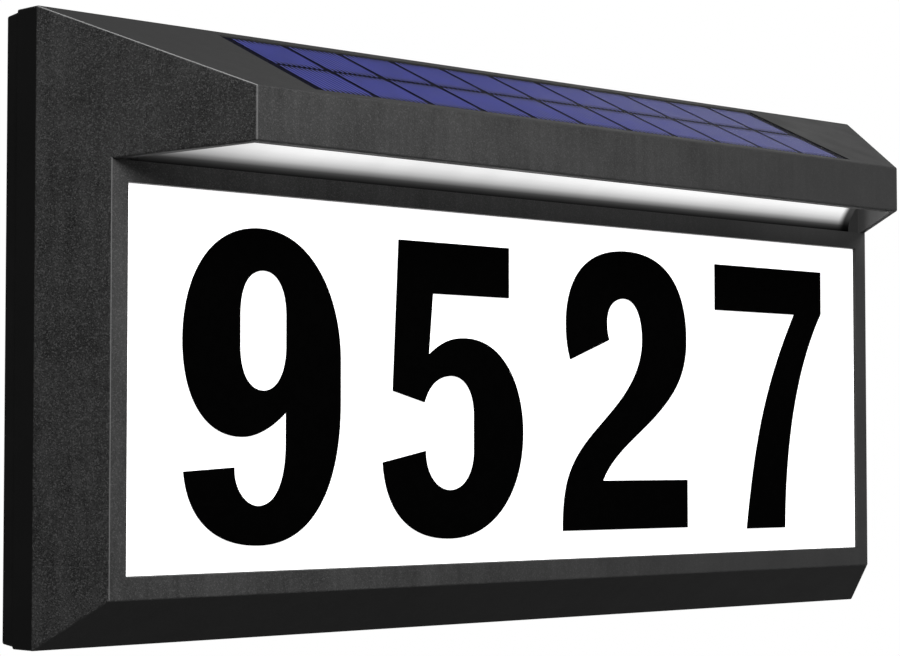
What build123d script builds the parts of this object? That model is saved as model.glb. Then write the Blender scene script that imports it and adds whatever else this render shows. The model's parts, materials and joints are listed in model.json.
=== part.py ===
"""Wall-mounted house number sign with a solar panel in its hood and a lamp that lights the number plate.

Frame: millimetres. The origin is the middle of the flat back, on the wall. X runs to the right as seen from
the front, Z runs up, and the sign faces -Y. "Depth" is the distance out from the wall, so depth d is y = -d.
"""

import os
from math import atan2, cos, degrees, hypot, radians, sin, tan

from build123d import *

os.makedirs("parts", exist_ok=True)

# --- Driving dimensions -------------------------------------------------------------------------------------

# Outer form
width = 360.0
height = 174.7
cover_depth = 6.2  # edge of the back cover, which shows behind the side wall
skirt_depth = 8.9  # straight side wall
frame_depth = 17.0  # from the side wall's front edge to the number frame's face
hood_depth = 49.0  # from the side wall's front edge to the hood's fascia
side_lean = 37.2  # degrees that the two cheeks lean in from the depth direction
bottom_lean = 38.4  # degrees that the bottom bevel leans in
frame_top = 45.1
fascia_bottom = 49.2
fascia_height = 15.1
wall = 2.4
edge_radius = 0.7

# Number frame and plate
frame_side_bar = 5.75
frame_bottom_bar = 6.25
frame_top_bar = 5.85
panel_recess = 1.1
panel_thickness = 2.5
panel_tape_thickness = 0.4
panel_ledge = 6.0
panel_ledge_thickness = 2.0
panel_clearance = 0.2
cross_bar_width = 6.0
cross_bar_pitch = 80.0
cross_bar_count = 3

# Digits
digit_height = 89.0
digit_thickness = 0.5
nine_place = (-141.9, -0.8)  # left edge and middle height, from the middle of the plate
five_place = (-67.1, -0.8)
two_place = (10.0, 0.0)
seven_place = (84.5, -1.0)

# Solar panel in the roof
solar_width = 239.8
solar_length = 47.8
solar_top_margin = 3.5  # roof left above the recess, along the slope
solar_recess = 1.0
solar_tape_thickness = 0.5
solar_tape_width = 4.0
solar_backing_thickness = 1.2
solar_cell_thickness = 0.25
solar_cover_thickness = 0.8
solar_floor = 1.8
solar_side_wall = 1.6
solar_clearance = 0.3
cell_columns = 11
cell_rows = 2
cell_pitch_x = 21.4
cell_pitch_y = 23.4
cell_width = 19.3
cell_length = 20.7

# Lamp under the hood
diffuser_ledge = 2.2  # depth of the step behind the frame's top bar
diffuser_thickness = 1.6
diffuser_rise = 11.9
diffuser_foot_radius = 5.0  # tight stretch of the cove's curve, at its rear foot
diffuser_end_gap = 6.6  # bare hood left between the diffuser and each cheek, along X
diffuser_clearance = 0.1
tab_width = 8.0
tab_thickness = 1.6
tab_height_above_foot = 4.0
tab_catch = 0.9
tab_pitch = 56.0
tab_count = 5
tab_slot_clearance = 0.2
diffuser_ceiling_gap = 0.3
led_board_length = 272.0
led_board_width = 10.0
led_board_thickness = 1.0
led_board_slope_place = 33.5  # middle of the board, along the roof from its ridge
led_standoff = 2.0
led_count = 24
led_pitch = 11.2
led_width = 3.5
led_length = 2.8
led_height = 0.8
led_screw_places = (-112.0, -33.6, 33.6, 112.0)
led_screw_radius = 1.0
led_screw_head_radius = 1.9
led_screw_head_height = 1.2
led_screw_grip = 3.0
led_screw_hole_depth = 3.2
led_boss_radius = 2.4

# Back cover and its closing
cover_plate = 2.2
cover_draft = 1.0  # how much the rim narrows on each side towards the wall
seam_step = 0.3  # how far the rim stands in from the side wall where they meet
tongue_height = 4.0
tongue_thickness = 1.8
tongue_clearance = 0.3
seal_width = 1.5
seal_depth = 1.5
seal_clearance = 0.05
screw_columns = 3
screw_side_margin = 22.5  # from the sign's sides to the outer screws
screw_top_margin = 17.35
screw_bottom_margin = 18.35
screw_radius = 1.5
screw_head_radius = 3.0
screw_head_height = 2.2
screw_length = 12.0
screw_hole_depth = 12.2  # of the pilot hole in a boss
screw_head_clearance = 0.4
screw_hole_clearance = 0.2
screw_pilot_clearance = 0.1
screw_seat = 3.0  # depth of the face that a screw head rests on
screw_post_end = 5.2  # depth where the cover's post meets the housing's boss
screw_post_width = 11.0
boss_radius = 3.8
boss_web_width = 1.6
boss_web_start = 11.0  # the webs beside the bosses start in front of the cover's tongue
boss_web_end = 24.0
rib_depth = 4.0
rib_width = 1.6
rib_heights = (0.0, 56.0)
rib_side_margin = 35.0
middle_rib_x = -12.0

# Keyholes for two wall screws
keyhole_spacing = 240.0
keyhole_place_z = 30.0
keyhole_entry_radius = 4.5
keyhole_slot_width = 4.6
keyhole_slot_length = 10.0
keyhole_pocket_depth = 7.0  # room for a screw head behind the plate
keyhole_pocket_width = 14.0
keyhole_pocket_wall = 1.8

# Battery bay, cell and hatch
bay_place = (-70.0, -38.0)
bay_length = 76.0
bay_height = 20.5
bay_floor_depth = 23.2
bay_wall = 1.8
cell_radius = 9.15
cell_can_length = 65.0
cell_nub_radius = 3.0
cell_nub_height = 1.5
cell_bed_gap = 0.1
hatch_length = 96.0
hatch_height = 30.0
hatch_thickness = 2.4
hatch_sunk = 0.2
hatch_clearance = 0.3
hatch_seal_thickness = 0.6
hatch_seal_width = 2.5
hatch_seal_setback = 1.0
hatch_corner_radius = 2.0
hatch_ledge_thickness = 2.0
hatch_rim = 2.0
hatch_screw_spacing = 86.0
hatch_screw_radius = 1.25
hatch_screw_head_radius = 2.3
hatch_screw_head_height = 1.4
hatch_screw_length = 8.0
hatch_screw_hole_depth = 7.9
hatch_boss_radius = 3.5
hatch_boss_end_depth = 12.0
contact_thickness = 0.4
contact_width = 12.0
contact_tag_width = 3.0
contact_tag_reach = 2.5  # how far a tag stands out of the bay's end wall
contact_clearance = 0.05
contact_slot_width = 3.2
contact_slot_height = 0.8
contact_leaf_height = 13.0
contact_bend_radius = 0.6
contact_crest_rounding = 0.12  # how much the bend at a spring's crest takes off its corner
contact_end_lift = 1.2

# Control board
board_place = (44.0, -38.0)
board_width = 64.0
board_height = 40.0
board_depth = 12.0  # depth of the board's face towards the wall
board_thickness = 1.6
board_corner_inset = 4.0
board_post_radius = 3.0
board_screw_radius = 1.25
board_screw_head_radius = 2.3
board_screw_head_height = 1.6
board_screw_length = 8.0
board_screw_hole_depth = 6.6  # of the pilot hole in a post
socket_width = 8.0
socket_depth = 6.0
socket_height = 7.0
socket_pitch = 18.0
socket_top_inset = 1.0
plug_clearance = 0.1
plug_wall = 0.7
plug_length = 10.0
plug_standing_out = 5.0
chip_size = (8.0, 6.0, 1.6)
chip_place = (-12.0, -2.0)
coil_size = 9.0
coil_height = 4.2
coil_place = (8.0, -8.0)
capacitor_radius = 4.0
capacitor_height = 9.5
capacitor_place = (-22.0, -12.0)

# Push button in the back cover
button_place = (0.0, -6.0)  # from the middle of the control board
button_sunk = 0.6
button_radius = 4.85
button_bore_clearance = 0.15
button_collar_radius = 8.5
button_collar_depth = 6.6
button_shoulder_depth = 2.6
button_flange_radius = 6.2
button_flange_thickness = 1.5
button_flange_clearance = 0.1
button_flange_bore_clearance = 0.3
button_stem_radius = 2.0
button_travel = 1.2
button_seal_thickness = 0.6
button_seal_clearance = 0.05
switch_body_size = 7.0
switch_body_height = 5.0
plunger_radius = 1.5
plunger_clearance = 0.1
plunger_length = 3.8

# Small rounds: screws, their holes and bosses, and leads
hidden_sides = 8
small_sides = 16
lead_sides = 6

# Leads
lead_radius = 1.1
wire_radius = 0.8
wire_offset = 1.5  # each battery wire from the middle of its plug
lead_bend_radius = 8.0
wire_bend_radius = 4.0
plus_wire_offset = 12.0  # how far past its tag the battery's plus wire turns up
plus_wire_z = -2.0
minus_wire_x = 0.0
minus_wire_z = -6.0
lead_hole_radius = 2.2
bush_flange_radius = 3.3
bush_flange_thickness = 0.8
bush_clearance = 0.05
solar_lead_slope_place = 12.0

# --- Places worked out from them ----------------------------------------------------------------------------

half_width = width / 2
half_height = height / 2
skirt_front = cover_depth + skirt_depth
frame_face = skirt_front + frame_depth
fascia_face = skirt_front + hood_depth
side_slope = tan(radians(side_lean))
bottom_slope = tan(radians(bottom_lean))
cheek_wall = wall / cos(radians(side_lean))  # thickness of a cheek measured along X
frame_bottom = -half_height + frame_depth * bottom_slope
fascia_top = fascia_bottom + fascia_height
roof_lean = atan2(half_height - fascia_top, hood_depth)  # radians
roof_length = hypot(half_height - fascia_top, hood_depth)
fascia_inside = fascia_face - wall

ledge_depth = frame_face - panel_recess - panel_thickness - panel_tape_thickness
ring_back = ledge_depth - panel_ledge_thickness
divider_face = frame_face - diffuser_ledge
divider_back = divider_face - wall


def cheek_x(depth):
    """Half the sign's width at a depth in front of the side wall."""
    return half_width - (depth - skirt_front) * side_slope


def roof_z(depth):
    """Height of the roof's outer face at a depth."""
    return half_height - (depth - skirt_front) * tan(roof_lean)


def roof_underside_z(depth):
    """Height of the roof's inner face at a depth."""
    return roof_z(depth) - wall / cos(roof_lean)


def facing(depth):
    """Plane parallel to the wall, seen from the front; a positive extrusion goes out from the wall."""
    return Plane.XZ.offset(depth)


def shape(*points):
    """Polygon whose points stay where they are given."""
    return Polygon(*points, align=(Align.NONE, Align.NONE))


def small_round(radius, sides=hidden_sides, mode=Mode.ADD):
    """Small round drawn with a few flats, which lie on its circle."""
    return RegularPolygon(radius, sides, major_radius=False, mode=mode)


def canted_plan(rear, front, inset):
    """Plan outline between two depths whose ends run parallel to the cheeks."""
    rear_x = cheek_x(rear) - inset
    front_x = cheek_x(front) - inset
    return [(-rear_x, -rear), (rear_x, -rear), (front_x, -front), (-front_x, -front)]


# The roof's own plane: x across the sign, y up the slope, its origin at the middle of the ridge
roof_plane = Plane(
    origin=(0, -skirt_front, half_height),
    x_dir=(1, 0, 0),
    z_dir=(0, -sin(roof_lean), cos(roof_lean)),
)


def roof_point(slope_place, sunk):
    """Depth and height of a point so far down the slope from the ridge and so far under the roof's face."""
    depth = skirt_front + slope_place * cos(roof_lean) - sunk * sin(roof_lean)
    z = half_height - slope_place * sin(roof_lean) - sunk * cos(roof_lean)
    return depth, z


# Number plate opening in the frame
opening_width = 2 * (cheek_x(frame_face) - frame_side_bar)
opening_bottom = frame_bottom + frame_bottom_bar
opening_top = frame_top - frame_top_bar
opening_height = opening_top - opening_bottom
opening_middle = (opening_top + opening_bottom) / 2
panel_width = opening_width - 2 * panel_clearance
panel_height = opening_height - 2 * panel_clearance
panel_face = frame_face - panel_recess
window_width = opening_width - 2 * panel_ledge
window_height = opening_height - 2 * panel_ledge

# Solar panel stack, measured down from the roof's face
solar_stack = solar_tape_thickness + solar_backing_thickness + solar_cell_thickness + solar_cover_thickness
solar_pocket = solar_recess + solar_stack
solar_tray = solar_pocket + solar_floor
solar_middle = -(solar_top_margin + solar_length / 2)
solar_panel_width = solar_width - 2 * solar_clearance
solar_panel_length = solar_length - 2 * solar_clearance

# Closing screws
screw_reach = half_width - screw_side_margin
screw_places = [screw_reach * (2 * column / (screw_columns - 1) - 1) for column in range(screw_columns)]
upper_screws = [(x, half_height - screw_top_margin) for x in screw_places]
lower_screws = [(x, screw_bottom_margin - half_height) for x in screw_places]
screw_points = upper_screws + lower_screws

# LED board screws on the roof plane
led_screw_points = [(x, -led_board_slope_place) for x in led_screw_places]
led_board_sunk = solar_tray + led_standoff

# Leads leave their plugs upwards in one plane parallel to the wall
board_front = board_depth + board_thickness
lead_plane_depth = board_front + socket_depth / 2
socket_top = board_place[1] + board_height / 2 - socket_top_inset
plug_top = socket_top + plug_standing_out
battery_plug_x = board_place[0] - socket_pitch
solar_plug_x = board_place[0]
lamp_plug_x = board_place[0] + socket_pitch
lamp_lead_depth, lamp_lead_z = roof_point(
    led_board_slope_place - led_board_width / 2, led_board_sunk + led_board_thickness
)

# --- Front housing ------------------------------------------------------------------------------------------

with BuildPart() as outer_form:
    with BuildSketch(Plane.YZ):
        shape(
            (-cover_depth, -half_height),
            (-skirt_front, -half_height),
            (-frame_face, frame_bottom),
            (-frame_face, frame_top),
            (-fascia_face, fascia_bottom),
            (-fascia_face, fascia_top),
            (-skirt_front, half_height),
            (-cover_depth, half_height),
        )
    extrude(amount=half_width, both=True)
    with BuildSketch(Plane.XY):
        Rectangle(width, skirt_front, align=(Align.CENTER, Align.MAX))
        shape(*canted_plan(skirt_front, fascia_face, 0))
    extrude(amount=half_height, both=True, mode=Mode.INTERSECT)
    rim_edges = outer_form.edges().filter_by_position(Axis.Y, -cover_depth, -cover_depth)
    inner_corner = outer_form.edges().filter_by(Axis.X).filter_by_position(Axis.Z, frame_top, frame_top)
    fillet(outer_form.edges() - rim_edges - inner_corner, radius=edge_radius)

# Block under the roof that the solar panel's recess is sunk into
with BuildPart() as solar_block:
    with BuildSketch(roof_plane.offset(-solar_tray)):
        with Locations((0, -edge_radius)):
            Rectangle(
                solar_width + 2 * solar_side_wall, roof_length + wall, align=(Align.CENTER, Align.MAX)
            )
    extrude(amount=solar_tray)
    add(outer_form.part, mode=Mode.INTERSECT)

# Webs that join the closing screws' bosses to the top and bottom walls
with BuildPart() as boss_webs:
    with BuildSketch(facing(boss_web_start)):
        for x, z in screw_points:
            with Locations((x, z)):
                near_wall = Align.MIN if z > frame_top else Align.MAX
                Rectangle(boss_web_width, half_height, align=(Align.CENTER, near_wall))
    extrude(amount=boss_web_end - boss_web_start)
    add(outer_form.part, mode=Mode.INTERSECT)

# Hollows: the chamber behind the number plate, and the open hollow under the hood
with BuildPart() as hollows:
    with BuildSketch(Plane.YZ):
        open_rear = cover_depth - 2 * wall
        shape(
            (-open_rear, -half_height),
            (-skirt_front, -half_height),
            (-frame_face, frame_bottom),
            (-frame_face, roof_z(frame_face)),
            (-skirt_front, half_height),
            (-open_rear, half_height),
        )
        offset(amount=-wall, kind=Kind.INTERSECTION)
        divider_foot = frame_top + wall
        with Locations((-ring_back, divider_foot)):
            Rectangle(frame_depth, height, align=(Align.MAX, Align.MAX), mode=Mode.SUBTRACT)
        with Locations((-divider_back, divider_foot)):
            Rectangle(frame_depth, height, align=(Align.MAX, Align.MIN), mode=Mode.SUBTRACT)
        shape(
            (-divider_face, frame_top),
            (-divider_face, roof_underside_z(divider_face)),
            (-fascia_inside, roof_underside_z(fascia_inside)),
            (-fascia_inside, frame_top),
        )
    extrude(amount=half_width, both=True)
    with BuildSketch(Plane.XY):
        with Locations((0, wall)):
            Rectangle(width, skirt_front + wall, align=(Align.CENTER, Align.MAX))
        shape(*canted_plan(skirt_front, fascia_face + wall, 0))
        offset(amount=-wall, kind=Kind.INTERSECTION)
    extrude(amount=half_height, both=True, mode=Mode.INTERSECT)

with BuildPart() as front_housing:
    add(outer_form.part)
    add(hollows.part, mode=Mode.SUBTRACT)

    add(boss_webs.part)
    add(solar_block.part)
    with BuildSketch(roof_plane.offset(-solar_pocket)):
        with Locations((0, solar_middle)):
            Rectangle(solar_width, solar_length)
    extrude(amount=solar_pocket + wall, mode=Mode.SUBTRACT)

    # Pocket for the number plate, the window behind it and the bars across the window
    with BuildSketch(facing(ledge_depth)):
        with Locations((0, opening_middle)):
            Rectangle(opening_width, opening_height)
    extrude(amount=frame_depth, mode=Mode.SUBTRACT)
    with BuildSketch(facing(ring_back - wall)):
        with Locations((0, opening_middle)):
            Rectangle(window_width, window_height)
            with GridLocations(cross_bar_pitch, 0, cross_bar_count, 1):
                Rectangle(cross_bar_width, opening_height, mode=Mode.SUBTRACT)
    extrude(amount=frame_depth, mode=Mode.SUBTRACT)

    # Bosses for the closing screws
    with BuildSketch(facing(screw_post_end)):
        with Locations(*lower_screws):
            small_round(boss_radius)
    extrude(amount=ring_back - screw_post_end + panel_ledge_thickness / 2)
    with BuildSketch(facing(screw_post_end)):
        with Locations(*upper_screws):
            small_round(boss_radius)
    extrude(amount=divider_back - screw_post_end + wall / 2)
    with BuildSketch(facing(screw_post_end)):
        with Locations(*screw_points):
            small_round(screw_radius + screw_pilot_clearance)
    extrude(amount=screw_hole_depth, mode=Mode.SUBTRACT)

    # Standoffs for the LED board, under the tray
    with BuildSketch(roof_plane.offset(-led_board_sunk)):
        with Locations(*led_screw_points):
            small_round(led_boss_radius)
    extrude(amount=led_standoff + solar_floor / 2)
    with BuildSketch(roof_plane.offset(-led_board_sunk)):
        with Locations(*led_screw_points):
            small_round(led_screw_radius + screw_pilot_clearance)
    extrude(amount=led_screw_hole_depth, mode=Mode.SUBTRACT)

    # Slots for the diffuser's catches, and the two lead holes
    with BuildSketch(facing(divider_back - wall)):
        with Locations((0, frame_top + diffuser_clearance + tab_height_above_foot)):
            with GridLocations(tab_pitch, 0, tab_count, 1):
                Rectangle(tab_width + 2 * tab_slot_clearance, tab_thickness + 2 * tab_slot_clearance)
        with Locations((lamp_plug_x, lamp_lead_z)):
            small_round(lead_hole_radius)
    extrude(amount=3 * wall, mode=Mode.SUBTRACT)
    with BuildSketch(roof_plane.offset(-solar_tray)):
        with Locations((solar_plug_x, -solar_lead_slope_place)):
            small_round(lead_hole_radius)
    extrude(amount=solar_floor, mode=Mode.SUBTRACT)
front_housing.part.label = "front_housing"

# --- Number plate and digits --------------------------------------------------------------------------------

with BuildPart() as panel_tape:
    with BuildSketch(facing(ledge_depth)):
        with Locations((0, opening_middle)):
            Rectangle(panel_width, panel_height)
            Rectangle(window_width, window_height, mode=Mode.SUBTRACT)
    extrude(amount=panel_tape_thickness)
panel_tape.part.label = "panel_tape"

with BuildPart() as number_panel:
    with BuildSketch(facing(ledge_depth + panel_tape_thickness)):
        with Locations((0, opening_middle)):
            Rectangle(panel_width, panel_height)
    extrude(amount=panel_thickness)
number_panel.part.label = "number_panel"

# The digit outlines are drawn for this height, each from its own left edge and foot
drawn_digit_height = 89.0
digit_scale = digit_height / drawn_digit_height


def rounded(start, end, corner, fullness):
    """Curve between two points whose tangents meet at a corner; fullness says how far it fills the corner."""
    first, last = fullness
    start, end, corner = Vector(*start), Vector(*end), Vector(*corner)
    return Bezier(start, start + (corner - start) * first, end + (corner - end) * last, end)


def digit_plane(place):
    """Plane on the number plate's face, its origin at a digit's left edge and foot."""
    return Plane(
        origin=(place[0], -panel_face, opening_middle + place[1] - digit_height / 2),
        x_dir=(1, 0, 0),
        z_dir=(0, -1, 0),
    )


with BuildPart() as digit_nine:
    with BuildSketch(digit_plane(nine_place)):
        with BuildLine():
            rounded((27.4, 89.0), (0, 56.8), (0, 89.0), (0.64, 0.56))
            rounded((0, 56.8), (21.3, 29.8), (0, 29.8), (0.63, 0.60))
            Bezier((21.3, 29.8), (26.9, 29.8), (33.3, 33.2), (37.4, 37.1))
            Line((37.4, 37.1), (37.4, 28.0))
            rounded((37.4, 28.0), (27.1, 10.4), (37.4, 10.4), (0.49, 0.76))
            Bezier((27.1, 10.4), (22.7, 10.4), (18.0, 15.1), (18.4, 21.3))
            Line((18.4, 21.3), (0.5, 20.2))
            Bezier((0.5, 20.2), (2.1, 5.6), (13.3, -0.8), (27.4, -0.8))
            rounded((27.4, -0.8), (58.0, 39.5), (58.0, -0.8), (0.70, 0.55))
            Line((58.0, 39.5), (58.0, 52.0))
            rounded((58.0, 52.0), (27.4, 89.0), (58.0, 89.0), (0.52, 0.63))
        make_face()
        with BuildLine():
            rounded((29.0, 77.0), (20.3, 64.5), (20.3, 77.0), (0.76, 0.51))
            Line((20.3, 64.5), (20.3, 55.5))
            rounded((20.3, 55.5), (29.0, 43.0), (20.3, 43.0), (0.49, 0.75))
            rounded((29.0, 43.0), (37.5, 55.5), (37.5, 43.0), (0.71, 0.46))
            Line((37.5, 55.5), (37.5, 64.5))
            rounded((37.5, 64.5), (29.0, 77.0), (37.5, 77.0), (0.53, 0.69))
        make_face(mode=Mode.SUBTRACT)
        scale(by=digit_scale)
    extrude(amount=digit_thickness)
digit_nine.part.label = "digit_nine"

with BuildPart() as digit_five:
    with BuildSketch(digit_plane(five_place)):
        with BuildLine():
            Polyline((4.0, 43.8), (6.3, 89.0), (52.7, 89.0), (52.7, 73.4), (20.2, 73.4), (18.5, 54.8))
            Bezier((18.5, 54.8), (23.5, 58.6), (27.7, 60.4), (33.8, 60.4))
            rounded((33.8, 60.4), (59.0, 31.8), (59.0, 60.4), (0.67, 0.50))
            rounded((59.0, 31.8), (27.5, -0.5), (59.0, -0.5), (0.56, 0.62))
            Bezier((27.5, -0.5), (12.4, -0.5), (1.3, 6.6), (0, 22.6))
            Line((0, 22.6), (17.3, 26.0))
            Bezier((17.3, 26.0), (17.3, 19.2), (21.6, 14.2), (27.8, 14.2))
            rounded((27.8, 14.2), (37.8, 26.0), (37.8, 14.2), (0.60, 0.56))
            Line((37.8, 26.0), (37.8, 37.0))
            rounded((37.8, 37.0), (28.3, 48.7), (37.8, 48.7), (0.53, 0.68))
            Bezier((28.3, 48.7), (22.2, 48.7), (18.6, 45.5), (16.8, 40.6))
            Line((16.8, 40.6), (4.0, 43.8))
        make_face()
        scale(by=digit_scale)
    extrude(amount=digit_thickness)
digit_five.part.label = "digit_five"

with BuildPart() as digit_two:
    with BuildSketch(digit_plane(two_place)):
        with BuildLine():
            Line((21.7, 61.1), (3.5, 54.4))
            Bezier((3.5, 54.4), (2.2, 58.3), (1.6, 61.0), (1.6, 65.7))
            rounded((1.6, 65.7), (29.8, 90.2), (1.6, 90.2), (0.65, 0.62))
            rounded((29.8, 90.2), (59.5, 62.2), (59.5, 90.2), (0.63, 0.65))
            Bezier((59.5, 62.2), (59.5, 50.6), (53.4, 44.1), (45.0, 37.5))
            Bezier((45.0, 37.5), (36.3, 30.6), (23.6, 24.8), (18.5, 15.8))
            Polyline((18.5, 15.8), (59.8, 15.8), (59.8, 0), (0, 0))
            Bezier((0, 0), (0, 14.5), (2.5, 21.4), (15.0, 31.6))
            Bezier((15.0, 31.6), (24.7, 39.5), (37.8, 48.3), (37.8, 61.7))
            rounded((37.8, 61.7), (29.0, 74.7), (37.8, 74.7), (0.52, 0.70))
            rounded((29.0, 74.7), (20.6, 66.7), (20.6, 74.7), (0.66, 0.59))
            Bezier((20.6, 66.7), (20.6, 64.4), (20.8, 62.9), (21.7, 61.1))
        make_face()
        scale(by=digit_scale)
    extrude(amount=digit_thickness)
digit_two.part.label = "digit_two"

with BuildPart() as digit_seven:
    with BuildSketch(digit_plane(seven_place)):
        with BuildLine():
            Polyline((42.6, 73.9), (0, 73.9), (0, 89.4), (57.3, 89.4), (57.3, 74.6))
            Bezier((57.3, 74.6), (41.6, 52.6), (37.2, 25.1), (36.7, 0))
            Line((36.7, 0), (16.3, 0))
            Bezier((16.3, 0), (21.1, 31.1), (26.8, 49.2), (42.6, 73.9))
        make_face()
        scale(by=digit_scale)
    extrude(amount=digit_thickness)
digit_seven.part.label = "digit_seven"

# --- Solar panel --------------------------------------------------------------------------------------------

with BuildPart() as solar_tape:
    with BuildSketch(roof_plane.offset(-solar_pocket)):
        with Locations((0, solar_middle)):
            Rectangle(solar_panel_width, solar_panel_length)
            Rectangle(
                solar_panel_width - 2 * solar_tape_width,
                solar_panel_length - 2 * solar_tape_width,
                mode=Mode.SUBTRACT,
            )
    extrude(amount=solar_tape_thickness)
solar_tape.part.label = "solar_tape"

with BuildPart() as solar_backing:
    with BuildSketch(roof_plane.offset(solar_tape_thickness - solar_pocket)):
        with Locations((0, solar_middle)):
            Rectangle(solar_panel_width, solar_panel_length)
    extrude(amount=solar_backing_thickness)
solar_backing.part.label = "solar_backing"

cell_plane = roof_plane.offset(solar_tape_thickness + solar_backing_thickness - solar_pocket)
with BuildPart() as solar_cells:
    with BuildSketch(cell_plane):
        with Locations((0, solar_middle)):
            with GridLocations(cell_pitch_x, cell_pitch_y, cell_columns, cell_rows):
                Rectangle(cell_width, cell_length)
    extrude(amount=solar_cell_thickness)
solar_cells.part.label = "solar_cells"

with BuildPart() as solar_cover:
    with BuildSketch(cell_plane.offset(solar_cell_thickness)):
        with Locations((0, solar_middle)):
            Rectangle(solar_panel_width, solar_panel_length)
    extrude(amount=solar_cover_thickness)
solar_cover.part.label = "solar_cover"

# --- Lamp under the hood ------------------------------------------------------------------------------------

cove_rear = divider_face + diffuser_clearance
cove_front = fascia_inside - diffuser_clearance
cove_foot = frame_top + diffuser_clearance
cove_reach = cove_front - cove_rear
diffuser_inset = cheek_wall + diffuser_end_gap
diffuser_end_wall = diffuser_thickness / cos(radians(side_lean))

# The cove's curve is a tight arc at its foot that runs on into a wide one up to the fascia
curve_reach = cove_reach - diffuser_thickness
tight_reach = curve_reach - diffuser_foot_radius
wide_radius = (tight_reach**2 + diffuser_rise**2 - diffuser_foot_radius**2) / (
    2 * (diffuser_rise - diffuser_foot_radius)
)
tight_turn = degrees(atan2(wide_radius - diffuser_rise, tight_reach))


def cove_curve(growth):
    """Cove's curve from its rear foot up to the fascia, grown upwards by a thickness."""
    CenterArc((tight_reach - cove_front, cove_foot), diffuser_foot_radius + growth, 0, tight_turn)
    wide_middle = (-cove_front, cove_foot + diffuser_rise - wide_radius)
    CenterArc(wide_middle, wide_radius + growth, tight_turn, 90 - tight_turn)


# Room above the cove, between its end walls
with BuildPart() as cove_room:
    with BuildSketch(Plane.YZ):
        with BuildLine():
            cove_curve(diffuser_thickness)
            Polyline(
                (-cove_front, cove_foot + diffuser_rise + diffuser_thickness),
                (-fascia_face, cove_foot + diffuser_rise + diffuser_thickness),
                (-fascia_face, half_height),
                (-skirt_front, half_height),
                (-skirt_front, cove_foot),
                (-cove_rear, cove_foot),
            )
        make_face()
    extrude(amount=half_width, both=True)
    with BuildSketch(Plane.XY):
        shape(*canted_plan(skirt_front, fascia_face, diffuser_inset + diffuser_end_wall))
    extrude(amount=height, both=True, mode=Mode.INTERSECT)

with BuildPart() as light_diffuser:
    with BuildSketch(Plane.YZ):
        with BuildLine():
            cove_curve(0)
            Polyline(
                (-cove_front, cove_foot + diffuser_rise),
                (-cove_front, roof_underside_z(cove_front) - diffuser_ceiling_gap),
                (-cove_rear, roof_underside_z(cove_rear) - diffuser_ceiling_gap),
                (-cove_rear, cove_foot),
                (-cove_rear - diffuser_thickness, cove_foot),
            )
        make_face()
    extrude(amount=half_width, both=True)
    with BuildSketch(Plane.XY):
        shape(*canted_plan(cove_rear, cove_front, diffuser_inset))
    extrude(amount=height, both=True, mode=Mode.INTERSECT)
    add(cove_room.part, mode=Mode.SUBTRACT)

    # Catches that snap through the divider wall
    tab_end = divider_back - diffuser_clearance - tab_catch
    with BuildSketch(facing(tab_end)):
        with Locations((0, cove_foot + tab_height_above_foot)):
            with GridLocations(tab_pitch, 0, tab_count, 1):
                Rectangle(tab_width, tab_thickness)
    extrude(amount=cove_rear + 1.5 * diffuser_thickness - tab_end)
    with BuildSketch(facing(tab_end)):
        with Locations((0, cove_foot + tab_height_above_foot + tab_catch / 2)):
            with GridLocations(tab_pitch, 0, tab_count, 1):
                Rectangle(tab_width, tab_thickness + tab_catch)
    extrude(amount=tab_catch)
light_diffuser.part.label = "light_diffuser"

with BuildPart() as led_board:
    with BuildSketch(roof_plane.offset(-led_board_sunk)):
        with Locations((0, -led_board_slope_place)):
            Rectangle(led_board_length, led_board_width)
        with Locations(*led_screw_points):
            small_round(led_screw_radius + screw_hole_clearance, mode=Mode.SUBTRACT)
    extrude(amount=-led_board_thickness)
led_board.part.label = "led_board"

led_face_plane = roof_plane.offset(-led_board_sunk - led_board_thickness)
with BuildPart() as leds:
    with BuildSketch(led_face_plane):
        with Locations((0, -led_board_slope_place)):
            with GridLocations(led_pitch, 0, led_count, 1):
                Rectangle(led_width, led_length)
    extrude(amount=-led_height)
leds.part.label = "leds"

with BuildPart() as led_board_screws:
    with BuildSketch(led_face_plane):
        with Locations(*led_screw_points):
            small_round(led_screw_head_radius)
    extrude(amount=-led_screw_head_height)
    with BuildSketch(led_face_plane):
        with Locations(*led_screw_points):
            small_round(led_screw_radius)
    extrude(amount=led_board_thickness + led_screw_grip)
led_board_screws.part.label = "led_board_screws"

# --- Back cover ---------------------------------------------------------------------------------------------

tongue_outside = wall + tongue_clearance
tongue_inside = tongue_outside + tongue_thickness
seal_outside = tongue_outside - seal_width
groove_depth = cover_depth - seal_depth

bay_x, bay_z = bay_place
bay_outside = (bay_length + 2 * bay_wall, bay_height + 2 * bay_wall)
hatch_recess = hatch_sunk + hatch_thickness + hatch_seal_thickness
hatch_opening = (hatch_length + 2 * hatch_clearance, hatch_height + 2 * hatch_clearance)
hatch_frame = (hatch_opening[0] + 2 * hatch_rim, hatch_opening[1] + 2 * hatch_rim)
hatch_screw_points = [(bay_x + side * hatch_screw_spacing / 2, bay_z) for side in (-1, 1)]

board_x, board_z = board_place
board_screw_points = [
    (
        board_x + side * (board_width / 2 - board_corner_inset),
        board_z + level * (board_height / 2 - board_corner_inset),
    )
    for side in (-1, 1)
    for level in (-1, 1)
]

button_x, button_z = board_x + button_place[0], board_z + button_place[1]
button_bore_radius = button_radius + button_bore_clearance
flange_bore_radius = button_flange_radius + button_flange_bore_clearance

keyhole_points = [(side * keyhole_spacing / 2, keyhole_place_z) for side in (-1, 1)]
keyhole_pocket_height = keyhole_pocket_width + keyhole_slot_length
keyhole_pocket_points = [(x, z + keyhole_slot_length / 2) for x, z in keyhole_points]


rib_reach = half_width - rib_side_margin


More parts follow.
